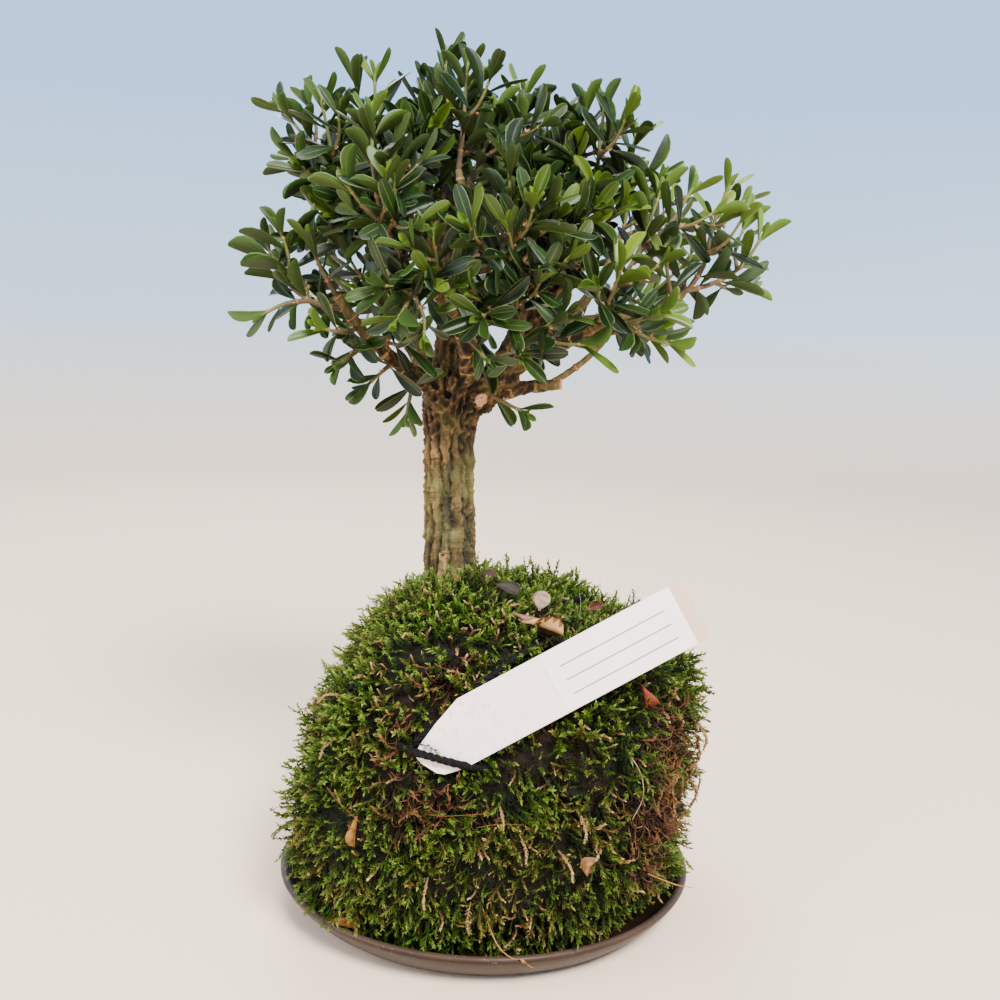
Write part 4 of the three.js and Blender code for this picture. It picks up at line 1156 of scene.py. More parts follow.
def makeMoss():
    bed, bedPoints = makeBed("mossBed")
    soil = newMaterial("dampSoil", soilPaint, {"Specular IOR Level": 0.2})
    piece = newObject("mossBed", bed, soil)
    finishPiece(piece, "moss", "moss_cover")
    core = frame["nodes"]["soil_core"].data
    core.materials.clear()
    core.materials.append(soil)

    shoots = makeShootSet()
    tree = mossTree()
    paint = newMaterial("mossLeaves", mossPaint, {"Specular IOR Level": 0.16})
    sector = 2 * math.pi / moss["patches"]
    centres = np.array([np.mean([bedPoints[i] for i in face.vertices], axis=0) for face in bed.polygons])
    angles = np.arctan2(centres[:, 1], centres[:, 0] - ballCentre[0]) % (2 * math.pi)
    for patch in range(moss["patches"]):
        chosen = np.nonzero((angles >= patch * sector) & (angles < (patch + 1) * sector)
                            & (centres[:, 2] > ball["floor"] + 1.2))[0]
        used = {}
        faces = [tuple(used.setdefault(i, len(used)) for i in bed.polygons[face].vertices) for face in chosen]
        points = bedPoints[list(used)]
        mesh = meshFrom(f"mossPatch{patch}", points * mm, faces)
        storeValues(mesh, "room", mossRoom(points))
        storeValues(mesh, "fibre", patchShare(points, moss["fibrePatches"]))
        storeValues(mesh, "dry", patchShare(points, moss["dryPatches"]))
        ground = newObject(f"mossPatch{patch}", mesh)
        grown = growMesh(f"moss{patch + 1}", ground, tree, {
            "Shoots": shoots, "Spacing": moss["spacing"] * mm, "Height": moss["height"] * mm,
            "Droop": moss["droop"], "Lean": moss["lean"], "Sweep": moss["sweep"],
            "Dry Share": moss["dryShare"], "Seed": moss["seed"] + 10 * patch, "Material": paint})
        settleShoots(grown, True)
        piece = newObject(f"moss{patch + 1}", grown)
        finishPiece(piece, "moss", "moss_cover")
        print("moss", patch + 1, len(grown.polygons), "faces")
    dropSet(shoots)


makeMoss()
print("moss made")

# the plant stands where the solids have it; lengths in mm
trunk = {
    # height, sideways place and radius
    "rings": [(64, -12.2, 5.5), (82, -12.7, 8), (98, -13.3, 8.8), (109, -13.6, 8.2), (120, -13.8, 7.7),
              (131, -14, 7.5), (142, -14.3, 7.6), (150, -14.6, 8), (157, -14.4, 8.5), (162, -13.6, 9.6),
              (168, -12.6, 9.4), (173, -12.6, 7)],
    "knuckle": 148,  # the bark runs wild above this height
    "voxel": 0.53,
    "softened": 2,  # times
    "plateAcross": 0.25,  # bark ridges for each mm
    "plateAlong": 0.01,
    "groove": 2.5,  # how deep the grooves are
    "blockLength": 20,  # cracks cut the ridges into blocks
    "scarStep": 7.5,  # between the rings of scales on thin limbs
    "seamWidth": 0.3,  # against the distance between two ridges
    "crackWidth": 0.32,
    "fibreScale": 0.46,
    "lumpScale": 0.5,
    "fineScale": 1.15,
    "swirl": 1.3,
    "wildRadius": 1.9,  # thinner limbs have no wild bark
    "thinRadius": 1.2,  # from this radius on the relief grows, for so many mm
    "reliefGrows": 5,
    "topWild": 0.75,  # how wild the bark of the cut leader is
    # round cuts: where their limb is in the list of limbs and stubs, and their reach
    "cuts": [(-1, 1.3), (5, 1.2)],
    "topReach": 8,  # the rough top of the cut leader
    "topDepth": 2.5,
    "seed": 5,
}

# where the leader and a side limb were cut off
cutStubs = [
    {"radii": (7.2, 5.6), "points": [(-13, 0, 163), (-13, 1, 185), (-13, 3, 206), (-13, 4, 227)]},
    {"radii": (2.6, 2.4), "points": [(-8, -4, 164), (-6, -8, 164), (-4.5, -11.5, 163.5)]},
]

# burls on the knuckle: place and radius
burls = [
    ((-17, -7, 163), 3.2), ((-7, -6, 161), 3), ((-20, 3, 162), 3.2), ((-7, 5, 160), 3.2),
    ((-14, 8, 162), 3.8), ((-2, -5, 166), 3.6), ((-12, -9, 168), 3.2), ((4, -10, 170), 3),
    ((3, -15, 176), 3.2), ((-20, -2, 168), 3.4),
]

# The limbs, from the knuckle outwards: radii at the two ends, a few points, and the twigs that they carry.
# A twig is the share of its limb where it starts, its next points, and its forks, given in the same way.
limbs = [
    {"radii": (3.4, 1.3),
     "points": [(-15, -3, 162), (-24, -8, 170), (-34, -13, 177), (-41, -16, 184), (-48, -20, 194)],
     "sprays": [
         (1, [(-52, -22, 201), (-55, -25, 209)]),
         (0.9, [(-53, -21, 191), (-61, -22, 196), (-68, -20, 207)],
          (0.35, [(-62, -24, 191), (-68, -26, 188)])),
         (0.76, [(-45, -24, 183), (-50, -30, 184)]),
         (0.68, [(-42, -22, 177), (-46, -28, 174)]),
         (0.45, [(-34, -17, 172), (-38, -21, 168)]),
         (0.27, [(-26, -14, 165), (-27, -17, 158)]),
         (0.82, [(-40, -11, 194), (-40, -6, 204)]),
         (0.53, [(-32, -19, 186), (-31, -22, 195)])]},
    {"radii": (3.2, 1.3),
     "points": [(-9, -4, 166), (-9, -18, 178), (-12, -26, 187), (-17, -30, 194), (-25, -33, 201)],
     "sprays": [
         (1, [(-32, -36, 213), (-35, -38, 225), (-36, -38, 242)],
          (0.3, [(-37, -42, 217), (-41, -46, 222)])),
         (0.76, [(-17, -38, 201), (-18, -43, 209)]),
         (0.86, [(-24, -42, 193), (-27, -49, 187)]),
         (0.5, [(-7, -33, 181), (-3, -40, 177)])]},
    {"radii": (5.6, 1.7), "points": [(-6, -3, 163), (1, -13, 174), (5, -22, 183), (7, -27, 191)],
     "sprays": [
         (1, [(5, -33, 202), (3, -38, 215), (2, -42, 231)],
          (0.12, [(13, -34, 199), (20, -38, 206)]),
          (0.25, [(-3, -38, 206), (-7, -41, 214)])),
         (0.7, [(12, -30, 185), (19, -35, 190)]),
         (0.12, [(3, -14, 163), (8, -19, 161)]),
         (0.86, [(-2, -34, 192), (-7, -39, 194)])]},
    {"radii": (5.4, 1),
     "points": [(-2, 0, 166), (7, 4, 180), (16, 6, 195), (24, 6, 207), (31, 4, 221), (36, 3, 232)],
     "sprays": [
         (1, [(39, 2, 239), (41, 2, 245)]),
         (0.84, [(29, -5, 231), (29, -7, 240), (30, -7, 251)]),
         (0.94, [(40, -2, 230), (47, -5, 232)]),
         (0.74, [(32, -8, 218), (36, -16, 222)]),
         (0.61, [(19, -8, 212), (20, -15, 222)])]},
    {"radii": (2.6, 1), "points": [(10, 5, 186), (17, 10, 203), (16, 13, 216), (17, 13, 230)],
     "sprays": [
         (1, [(18, 11, 239), (20, 8, 251)]),
         (0.88, [(22, 4, 232), (25, -1, 241), (25, -3, 252)]),
         (0.68, [(9, 6, 227), (5, 3, 239), (6, 2, 256)]),
         (0.5, [(13, -6, 216), (9, -18, 227)])]},
    {"radii": (3, 1.7), "points": [(-5, -4, 163), (6, -8, 167), (20, -10, 169)],
     "sprays": []},
    {"radii": (1.2, 0.9), "points": [(15, -9.5, 168), (25, -11, 175), (31, -12, 181), (34, -13, 185)],
     "sprays": [
         (1, [(39, -16, 186), (46, -19, 184)])]},
    {"radii": (3, 1.8), "points": [(0, -8, 170), (14, -14, 179), (25, -15, 184), (31, -16, 188)],
     "sprays": [
         (1, [(35, -17, 198), (41, -16, 209), (47, -13, 226)],
          (0.55, [(50, -15, 217), (56, -14, 227)])),
         (0.92, [(32, -26, 194), (35, -32, 204)]),
         (0.97, [(38, -25, 188), (46, -31, 191)])]},
    {"radii": (1.6, 1), "points": [(31, -16, 188), (43, -12, 192), (52, -9, 195), (58, -8, 199)],
     "sprays": [
         (1, [(62, -8, 206), (64, -8, 217), (68, -8, 229)]),
         (0.96, [(66, -5, 201), (74, -4, 206), (80, -4, 215)]),
         (0.78, [(51, -15, 199), (49, -19, 206)]),
         (0.88, [(58, -1, 203), (60, 4, 211)])]},
    {"radii": (3.8, 1), "points": [(-18, 8, 167), (-29, 13, 186), (-38, 14, 205), (-45, 11, 222)],
     "sprays": [
         (1, [(-53, 8, 232), (-62, 6, 243), (-69, 6, 251)]),
         (0.96, [(-51, 1, 233), (-55, -3, 251)]),
         (0.91, [(-44, 9, 232), (-44, 6, 246), (-46, 5, 260)]),
         (0.78, [(-40, 3, 227), (-39, -2, 243), (-39, -4, 259)]),
         (0.86, [(-49, 2, 220), (-56, -4, 225)])]},
    {"radii": (3, 1), "points": [(-15, 6, 182), (-21, 15, 210), (-24, 15, 232), (-25, 14, 241)],
     "sprays": [
         (1, [(-26, 12, 250), (-24, 10, 259)]),
         (0.84, [(-20, 7, 243), (-18, 3, 266)]),
         (0.74, [(-28, 3, 234), (-31, -4, 243)])]},
    {"radii": (3, 1.1), "points": [(-11, -3, 182), (-8, -9, 206), (-11, -12, 222), (-13, -12, 232)],
     "sprays": [
         (1, [(-12, -12, 242), (-11, -12, 261)]),
         (0.84, [(-6, -8, 237), (-3, -5, 249)])]},
    {"radii": (3.6, 1.1), "points": [(-17, 4, 165), (-29, 22, 179), (-38, 34, 196), (-43, 40, 212)],
     "sprays": [
         (1, [(-46, 44, 222), (-48, 46, 234)],
          (0.3, [(-53, 41, 222), (-59, 38, 229)])),
         (0.6, [(-44, 32, 192), (-56, 34, 198)],
          (0.4, [(-48, 40, 192), (-53, 47, 196)])),
         (0.8, [(-34, 43, 211), (-31, 50, 222)],
          (0.3, [(-28, 44, 211), (-22, 45, 217)]))]},
    {"radii": (4, 1.1), "points": [(-10, 4, 166), (-8, 24, 183), (-5, 36, 202), (-5, 38, 222)],
     "sprays": [
         (1, [(-6, 38, 233), (-8, 36, 246)],
          (0.35, [(2, 36, 237), (8, 33, 245)])),
         (0.62, [(-6, 46, 199), (-4, 56, 207)],
          (0.35, [(4, 48, 202), (10, 53, 208)])),
         (0.84, [(-16, 42, 221), (-22, 41, 234)],
          (0.4, [(-14, 50, 225), (-14, 55, 233)]))]},
    {"radii": (4, 1.1), "points": [(-3, 3, 166), (13, 20, 180), (28, 32, 194), (38, 38, 210)],
     "sprays": [
         (1, [(42, 41, 221), (44, 42, 233)],
          (0.35, [(51, 39, 222), (58, 36, 229)])),
         (0.62, [(36, 28, 191), (50, 27, 198), (60, 25, 207)],
          (0.25, [(43, 36, 193), (49, 42, 197)])),
         (0.78, [(27, 39, 209), (24, 44, 221)],
          (0.3, [(20, 37, 209), (15, 34, 217)]))]},
]

shoot = {
    "baseRadius": 0.9,
    "tipRadius": 0.45,
    "sides": 7,
    "internode": 8.5,
    "leafPlace": 0.55,  # how far up its step a pair of leaves stands
    "tipPlace": 0.8,
    "turnSpread": 0.3,
    "lowSpread": 68,  # degrees between the twig and its lowest leaves
    "highSpread": 34,
    "tipSpread": 25,
    "betweenShare": 0.85,  # of the steps carry one more pair between them
    "spreadJitter": 16,
    "scarReach": 0.6,  # mm along the twig, and how far it stands out
    "scarHeight": 0.22,
    "seed": 100,
    "sideSeed": 700,
}
# side shoots: first the ones of the solids, then shorter ones that fill the crown
sideRounds = [
    {"most": 2, "bareSteps": 1, "parentLength": 20, "length": (15, 15), "spread": 48, "start": 0.4,
     "room": 3, "limbRoom": 2.4, "thickness": 0.78},
    {"most": 4, "bareSteps": 0, "parentLength": 12, "length": (9, 14), "spread": 55, "start": 0.4,
     "room": 1.9, "limbRoom": 1.2, "thickness": 0.72, "inside": ((-14, 2, 208), (40, 48, 40))},
]

leaf = {
    "length": 15.5,
    "width": 4.2,
    "smallest": 0.8,
    "sizeSpread": 0.28,
    "tipLength": 0.8,
    "lengthWeight": 0.7,  # how far the width follows the length
    "budLength": 0.36,
    "axilShare": 0.16,  # of the leaves have two small ones above them
    # towards +X the shoots are young and sunny: fewer leaves, and lighter ones, partly as young leaves and
    # partly as painted light, from this place on and within this reach
    "youngSunnyFrom": 18,
    "youngSunnyReach": 48,
    "smallWeight": 0.8,
    "limbRoom": 0.3,
    "seed": 900,
    "columns": (-1, -0.52, 0, 0.52, 1),  # of points across the blade
    "thickness": 0.028,
    # share of the length, and half the width there
    "outline": [(0, 0.1), (0.12, 0.2), (0.28, 0.52), (0.46, 0.82), (0.64, 0.99), (0.8, 0.96), (0.92, 0.72),
                (0.975, 0.4)],
}


def barkLines():  # one line for the trunk, then the limbs, then the stubs
    trunkLine = Line([(x, 0, height) for height, x, radius in trunk["rings"]])
    heights, places, radii = zip(*trunk["rings"])
    lines = [(trunkLine, lambda share: float(np.interp(trunkLine.point(share)[2], heights, radii)))]
    for limb in limbs + cutStubs:
        lines.append((Line(limb["points"]), lambda share, limb=limb: lerp(*limb["radii"], share ** 0.8)))
    return lines


# a tube round each line and a ball for each burl, as one closed skin
def woodSkin(lines):
    whole = bmesh.new()
    for line, radiusAt in lines:
        points, faces = tube(line, max(6, round(line.length / 2)), 16, radiusAt)
        made = [whole.verts.new(point) for point in points]
        for face in faces:
            whole.faces.new([made[i] for i in face])
    for place, radius in burls:
        bmesh.ops.create_icosphere(whole, subdivisions=3, radius=radius, matrix=Matrix.Translation(place))
    mesh = bpy.data.meshes.new("woodRough")
    whole.to_mesh(mesh)
    whole.free()
    rough = newObject("woodRough", mesh)
    remesh = rough.modifiers.new("oneSkin", "REMESH")
    remesh.mode = "VOXEL"
    remesh.voxel_size = trunk["voxel"]
    rough.modifiers.new("soften", "SMOOTH").iterations = trunk["softened"]
    skin = bpy.data.meshes.new_from_object(rough.evaluated_get(bpy.context.evaluated_depsgraph_get()))
    bpy.data.objects.remove(rough)
    return skin


# every point of the skin belongs to the line that it lies nearest to
def nearestSamples(points, lines):
    samples = []
    for index, (line, radiusAt) in enumerate(lines):
        steps = max(4, round(line.length / 1.5))
        tangents, across, other = line.frames(steps)
        for i in range(steps + 1):
            samples.append((line.point(i / steps), tangents[i], across[i], other[i],
                            i / steps * line.length, radiusAt(i / steps), index))
    centres = np.array([sample[0] for sample in samples])
    radii = np.array([sample[5] for sample in samples])
    owners = []
    for start in range(0, len(points), 4000):  # in parts, so that the table of gaps stays small
        part = points[start:start + 4000]
        gaps = np.linalg.norm(part[:, None, :] - centres[None], axis=2) / radii[None]
        owners.extend(np.argmin(gaps, axis=1))
    return [samples[owner] for owner in owners]


# at a point of the skin: how far the bark stands out, the height of its plates, how young and how fine it is
def barkAt(point, sample, topIndex):
    centre, axis, side, up, alongWay, radius, index = sample
    offset = point - centre
    flat = np.array([offset @ side, offset @ up])
    flat = flat / max(np.linalg.norm(flat), 1e-6) * radius
    alongWay = alongWay + offset @ axis
    spot = Vector(point)
    wobble = noise.noise(spot * 0.11) * 3
    drift = noise.noise(spot * 0.3 + Vector((7, 3, 1))) * 1.1
    big = clipped((radius - trunk["thinRadius"]) / trunk["reliefGrows"])
    thin = 1 - min(1, big * 2.2)
    isWild = index == 0 or radius > trunk["wildRadius"]
    wild = clipped((point[2] - trunk["knuckle"]) / 6) if isWild else 0
    if index == topIndex:
        wild = trunk["topWild"]
    # long ridges with deep grooves between them, cracked across into blocks
    across, blockLength = trunk["plateAcross"], trunk["blockLength"]
    cell = Vector(((flat[0] + wobble * 0.75) * across, (flat[1] + drift) * across,
                   (alongWay + wobble) * trunk["plateAlong"] + index * 7.3))
    gaps, feet = noise.voronoi(cell)[:2]
    seam = min(1, (gaps[1] - gaps[0]) / trunk["seamWidth"])
    seam = seam * (2 - seam)
    own = noise.cell(feet[0] * 91.7) * 5 + 2.5
    block = alongWay / blockLength + own * 3 + 0.12 * noise.noise(spot * 0.6)
    blockEnd = abs(block % 1 - 0.5) * blockLength
    step = noise.cell(Vector((own * 13.7, math.floor(block + 0.5) * 3.1, 0.5)))
    crack = math.exp(-((blockLength / 2 - blockEnd) / trunk["crackWidth"]) ** 2) * (1 if step > 0.2 else 0.3)
    fine = noise.fractal(spot * trunk["fineScale"], 0.7, 2, 4)
    strand = noise.noise(Vector(((flat[0] + 0.4 * wobble) * 0.8, flat[1] * 0.8, alongWay * 0.14)))
    strand = 1 - 2.6 * abs(strand)
    calm = (seam - 0.72) * trunk["groove"] + 0.65 * (step - 0.5) * seam - 0.6 * crack * seam + 0.42 * fine
    calm += 0.35 * noise.noise(spot * 0.45) + 0.5 * strand * seam
    seam = clipped(seam * (0.66 + 0.3 * step) - 0.55 * crack + 0.14 * fine + 0.16 * strand)
    # wild bark: twisted fibres and lumps
    swirl = trunk["swirl"] * Vector(noise.noise_vector(spot * 0.13))
    scale = trunk["fibreScale"]
    fold = Vector(((flat[0] + 0.4 * alongWay) * scale, flat[1] * scale, alongWay * 0.1 + index * 3.7))
    fibre = 1 - abs(noise.noise(fold + swirl)) * 3.2
    lump = noise.fractal(spot * trunk["lumpScale"], 0.9, 2, 3)
    rough = 1.15 * fibre + 0.35 * lump + 0.5 * fine - 0.45
    # thin limbs have a ring of scales where leaves stood
    ring = abs((alongWay / trunk["scarStep"]) % 1 - 0.5) * 2 * trunk["scarStep"]
    scar = math.exp(-ring * ring * 1.6) * thin
    push = lerp(calm, rough, wild) * lerp(0.12, 1, big) + 0.3 * scar
    plate = 1 + scar if scar > 0.3 else lerp(seam, clipped(0.3 + 0.55 * fibre + 0.25 * fine), wild)
    young = lerp(lerp(0.35, 1, thin), 0, big) * (1 - wild) if index else 0
    return push, plate, young, fine


def barkPaint(graph):
    plateHeight, young = graph.attribute("plate"), graph.attribute("young")
    wild, cut = graph.attribute("wild"), graph.attribute("cut")
    spot = graph.place()
    grain = graph.noise(420, graph.place((1, 1, 0.3)), 4, 0.6)
    cloud = graph.noise(110, spot, 3)
    speck = graph.noise(1500, spot, 3, 0.6)
    cracks = graph.noise(260, graph.place((0.5, 0.5, 3.2)), 2, 0.5)
    corky = graph.ramp(plateHeight, (0.1, 20, 19, 8), (0.42, 56, 50, 24),
                       (0.66, 80, 64, 31), (0.86, 108, 86, 47), (1.0, 148, 118, 74))
    algae = graph.mixColour(graph.above(cloud, 0.48, 5) * 0.55, corky, (112, 112, 58))
    weathered = graph.mixColour(graph.above(grain, 0.56, 5) * 0.55, algae, (170, 140, 94))
    cracked = graph.mixColour(graph.above(cracks, 0.6, 14) * 0.75, weathered, (56, 40, 22))
    fibrous = graph.ramp(plateHeight, (0.15, 12, 8, 4), (0.5, 46, 32, 17),
                         (0.75, 84, 62, 36), (0.98, 136, 108, 70))
    knuckle = graph.mixColour(graph.above(cloud, 0.52, 5) * 0.45, fibrous, (104, 92, 42))
    old = graph.mixColour(wild * 0.85, cracked, knuckle)
    smoothBark = graph.ramp(grain, (0.3, 66, 54, 28), (0.55, 98, 84, 46),
                            (0.8, 132, 114, 74))
    scaled = graph.mixColour(graph.above(plateHeight, 1.25, 3), smoothBark, (158, 112, 78))
    limbed = graph.mixColour(graph.clamp(young * 1.4), old, scaled)
    rings = graph.ramp(speck, (0.35, 150, 104, 74), (0.65, 206, 164, 128))
    return {"Base Color": graph.mixColour(cut, limbed, rings),
            "Roughness": 0.72 + speck * 0.2,
            "Normal": graph.bump(grain * 0.6 + speck * 0.25 + cracks * -0.5, 0.0009, 0.9)}


def makeWood():
    noise.seed_set(trunk["seed"])  # noise_vector would differ from run to run without it
    lines = barkLines()
    skin = woodSkin(lines)
    points = readPoints(skin)
    normals = np.array([vert.normal for vert in skin.vertices])
    count = len(points)
    moved = np.empty_like(points)
    plate, young, cut = np.empty(count), np.empty(count), np.zeros(count)
    woody = limbs + cutStubs
    cuts = [(np.array(woody[index]["points"][-1]), reach) for index, reach in trunk["cuts"]]
    top = np.array(cutStubs[0]["points"][-1])
    for i, sample in enumerate(nearestSamples(points, lines)):
        point = points[i]
        push, plate[i], young[i], fine = barkAt(point, sample, 1 + len(limbs))
        for end, reach in cuts:
            gap = np.linalg.norm(point - end)
            if gap < reach + 0.7 and sample[1] @ (point - end) > -0.35:
                cut[i] = 1
                push = 0.1 * math.sin(6 * gap)
        if np.linalg.norm(point - top) < trunk["topReach"] and point[2] > top[2] - trunk["topDepth"]:
            push = 1.6 * noise.noise(Vector((point[0] * 0.9, point[1] * 0.9, point[2] * 0.25)))
            plate[i] = 0.4 + 0.4 * fine
        moved[i] = point + normals[i] * push
    movePoints(skin, moved)
    skin.shade_smooth()
    wildness = np.clip((points[:, 2] - trunk["knuckle"] + 3) / 8, 0, 1)
    for name, values in (("plate", plate), ("young", young), ("cut", cut), ("wild", wildness)):
        storeValues(skin, name, values)
    piece = newObject("barkedWood", skin, newMaterial("corkyBark", barkPaint, {"Specular IOR Level": 0.3}))
    finishPiece(piece, "bark", "wood")
    print("wood", len(skin.polygons), "faces")


# The twigs follow the same rule as the solids, so they stand in the same places.
def pairsOn(line):
    return max(2, round(line.length / shoot["internode"]))


def pairPlace(step, pairs):
    return (step + (shoot["tipPlace"] if step == pairs - 1 else shoot["leafPlace"])) / pairs


def spacedPoints(line, count):
    return np.array([line.point(i / count) for i in range(count + 1)])


def limbSamples(count):  # points on the limbs and stubs, and how thick they are there
    woody = limbs + cutStubs
    points = np.concatenate([spacedPoints(Line(limb["points"]), count) for limb in woody])
    return points, np.concatenate([np.linspace(*limb["radii"], count + 1) for limb in woody])


def limbGap(tested, samples):
    points, radii = samples
    return (np.linalg.norm(tested[:, None] - points[None], axis=2) - radii[None]).min()


def newTwig(line, thickness):
    return {"line": line, "thickness": thickness, "sides": [], "points": spacedPoints(line, 8)}


def makeTwigs():
    samples = limbSamples(12)
    sprays = []
    for limb in limbs:
        limbLine = Line(limb["points"])
        for at, path, *forks in limb["sprays"]:
            main = Line([limbLine.point(at), *path])
            lines = [main] + [Line([main.point(forkAt), *forkPath]) for forkAt, forkPath in forks]
            sprays.append([newTwig(line, 1) for line in lines])
    every = [twig for spray in sprays for twig in spray]
    for index, rule in enumerate(sideRounds):
        draw = randomStream(shoot["sideSeed"] + index)
        for twig in list(every):
            if twig["line"].length > rule["parentLength"]:
                addSideShoots(twig, rule, every, samples, draw)
    return sprays, every


def wayOut(frames, index, turn):
    return frames[1][index] * math.cos(turn) + frames[2][index] * math.sin(turn)


def quarterTurn(side):
    return (side + 0.5) * math.pi / 2


def addSideShoots(twig, rule, every, samples, draw):
    line = twig["line"]
    pairs = pairsOn(line)
    frames = line.frames(2 * pairs)
    angle = math.radians(rule["spread"])
    others = np.concatenate([other["points"] for other in every if other is not twig])
    for step in range(rule["bareSteps"], pairs - rule["bareSteps"]):
        for side in ((step + 1) % 2, (step + 1) % 2 + 2):
            if len(twig["sides"]) >= rule["most"]:
                return
            length = lerp(*rule["length"], draw())
            out, axis = wayOut(frames, 2 * step + 1, quarterTurn(side)), frames[0][2 * step + 1]
            start = line.point((step + rule["start"]) / pairs)
            along, across = length * math.cos(angle), length * math.sin(angle)
            grown = Line([start, start + axis * 0.45 * along + out * 0.55 * across,
                          start + axis * 1.15 * along + out * 0.9 * across])
            if "inside" in rule:
                middle, reach = (np.array(value, float) for value in rule["inside"])
                if np.linalg.norm((start - middle) / reach) > 1:
                    continue
            tested = spacedPoints(grown, 6)[2:]
            near = np.linalg.norm(tested[:, None] - others[None], axis=2).min()
            if near > rule["room"] and limbGap(tested, samples) > rule["limbRoom"]:
                made = newTwig(grown, twig["thickness"] * rule["thickness"])
                twig["sides"].append(made)
                every.append(made)
                others = np.concatenate([others, made["points"]])
                break


# how far towards +X a twig ends: its shoots are younger there, and their leaves are painted lighter as
# painted light
def youngSunnyShare(line):
    return clipped((line.point(1)[0] - leaf["youngSunnyFrom"]) / leaf["youngSunnyReach"])


# for each leaf: its place, the twig's way there, the way out, degrees between, size, share of the twig
def leavesOn(twig, draw, extra):
    line = twig["line"]
    pairs = pairsOn(line)
    betweenShare = shoot["betweenShare"] * (1 - 0.8 * youngSunnyShare(line))
    frames = line.frames(2 * pairs)
    leaves = []
    for step in range(pairs):
        isTip = step == pairs - 1
        share = pairPlace(step, pairs)
        middle, axis = line.point(share), frames[0][2 * step + 1]
        for side in (step % 2, step % 2 + 2):
            turn = quarterTurn(side) + shoot["turnSpread"] * (draw() - 0.5)
            spread = lerp(shoot["lowSpread"], shoot["highSpread"], step / (pairs - 1))
            spread = (shoot["tipSpread"] if isTip else spread) + shoot["spreadJitter"] * (draw() - 0.5)
            size = (leaf["tipLength"] if isTip else 1) * (leaf["smallest"] + leaf["sizeSpread"] * draw())
            draw()  # the solids take this number for the leaf's arch
            out = wayOut(frames, 2 * step + 1, turn)
            leaves.append((middle, axis, out, spread, size, share))
            if step and extra() < betweenShare:
                lower = share - (0.42 + 0.16 * extra()) / pairs
                spot, way = line.point(lower), line.tangent(lower)
                beside = unit(turned(out, axis, math.pi / 4 + 0.5 * extra()))
                leaves.append((spot, way, unit(beside - way * (way @ beside)), spread + 8 + 14 * extra(),
                               0.76 + 0.24 * extra(), lower))
            if not isTip and extra() < leaf["axilShare"]:
                for hand in (-1, 1):
                    beside = turned(out, axis, hand * (0.7 + 0.5 * extra()))
                    leaves.append((middle + axis, axis, beside, 22 + 20 * extra(), 0.3 + 0.3 * extra(),
                                   share))
    # two small new leaves close each tip
    end, axis = line.point(1), frames[0][-1]
    for side in (pairs % 2, pairs % 2 + 2):
        out = wayOut(frames, -1, quarterTurn(side))
        spread = 16 + 10 * ((side * 0.37) % 1)
        leaves.append((end - axis * 0.3, axis, out, spread, leaf["budLength"], 1.15))
    return leaves


# one blade, 1 long and 1 wide, with its top along +Z; arch bends it down, fold lifts its sides
def leafMesh(name, arch, fold, twist):
    columns, rows, thick = leaf["columns"], leaf["outline"], leaf["thickness"]
    points, faces, blades = [], [], []
    index = {}
    for top in (1, 0):
        for i, (share, half) in enumerate(rows):
            for k, across in enumerate(columns):
                isRim = abs(across) == 1 or i in (0, len(rows) - 1)
                if isRim and not top:
                    index[top, i, k] = index[1, i, k]
                    continue
                if not top and k % 2:
                    continue
                inner = 1 - abs(across)
                x = share + 0.16 * max(0, share - 0.72) * (1 - across ** 2)
                x -= 0.025 if share > 0.95 and across == 0 else 0
                z = fold * abs(across) ** 1.4 * half - 0.045 * half * (across == 0) - arch * share * share
                if not isRim:
                    z += (0.5 * inner ** 0.5 * (1 - 0.4 * share) + 0.12) * (thick if top else -thick)
                y = across * half * 0.5
                angle = twist * share
                index[top, i, k] = len(points)
                points.append((x, y * math.cos(angle), z + y * math.sin(angle) * 0.3))
                blades.append((share, across, 0.5 if isRim else top))
    for top, crossing in ((1, (0, 1, 2, 3, 4)), (0, (0, 2, 4))):  # the underside is coarser
        for i in range(len(rows) - 1):
            for k, k2 in zip(crossing, crossing[1:]):
                quad = [index[top, i, k], index[top, i + 1, k], index[top, i + 1, k2], index[top, i, k2]]
                faces.append(quad if top else quad[::-1])
    # the rows at the two ends have five points above and three below
    for i, after in ((0, 1), (len(rows) - 1, -1)):
        for k in (0, 2):
            corner = [index[1, i, k], index[1, i, k + 1], index[1, i, k + 2]]
            faces.append(corner[::after])
    mesh = meshFrom(name, points, faces)
    isRim = [blade[2] == 0.5 for blade in blades]
    sharp = [isRim[edge.vertices[0]] and isRim[edge.vertices[1]] for edge in mesh.edges]
    mesh.attributes.new("sharp_edge", "BOOLEAN", "EDGE").data.foreach_set("value", sharp)
    storeValues(mesh, "blade", blades, "FLOAT_VECTOR")
    side = [1 if i < 4 * (len(rows) - 1) else 0 for i in range(len(faces))]
    storeValues(mesh, "top", side, "FLOAT", "FACE")
    return mesh


leafShapes = [(0.04, 0.1, 0.1), (0.1, 0.05, -0.2), (0.16, -0.08, 0.15), (0.2, 0.16, 0), (0.26, -0.02, -0.1),
              (0.12, 0.22, 0.3)]  # arch, fold and twist


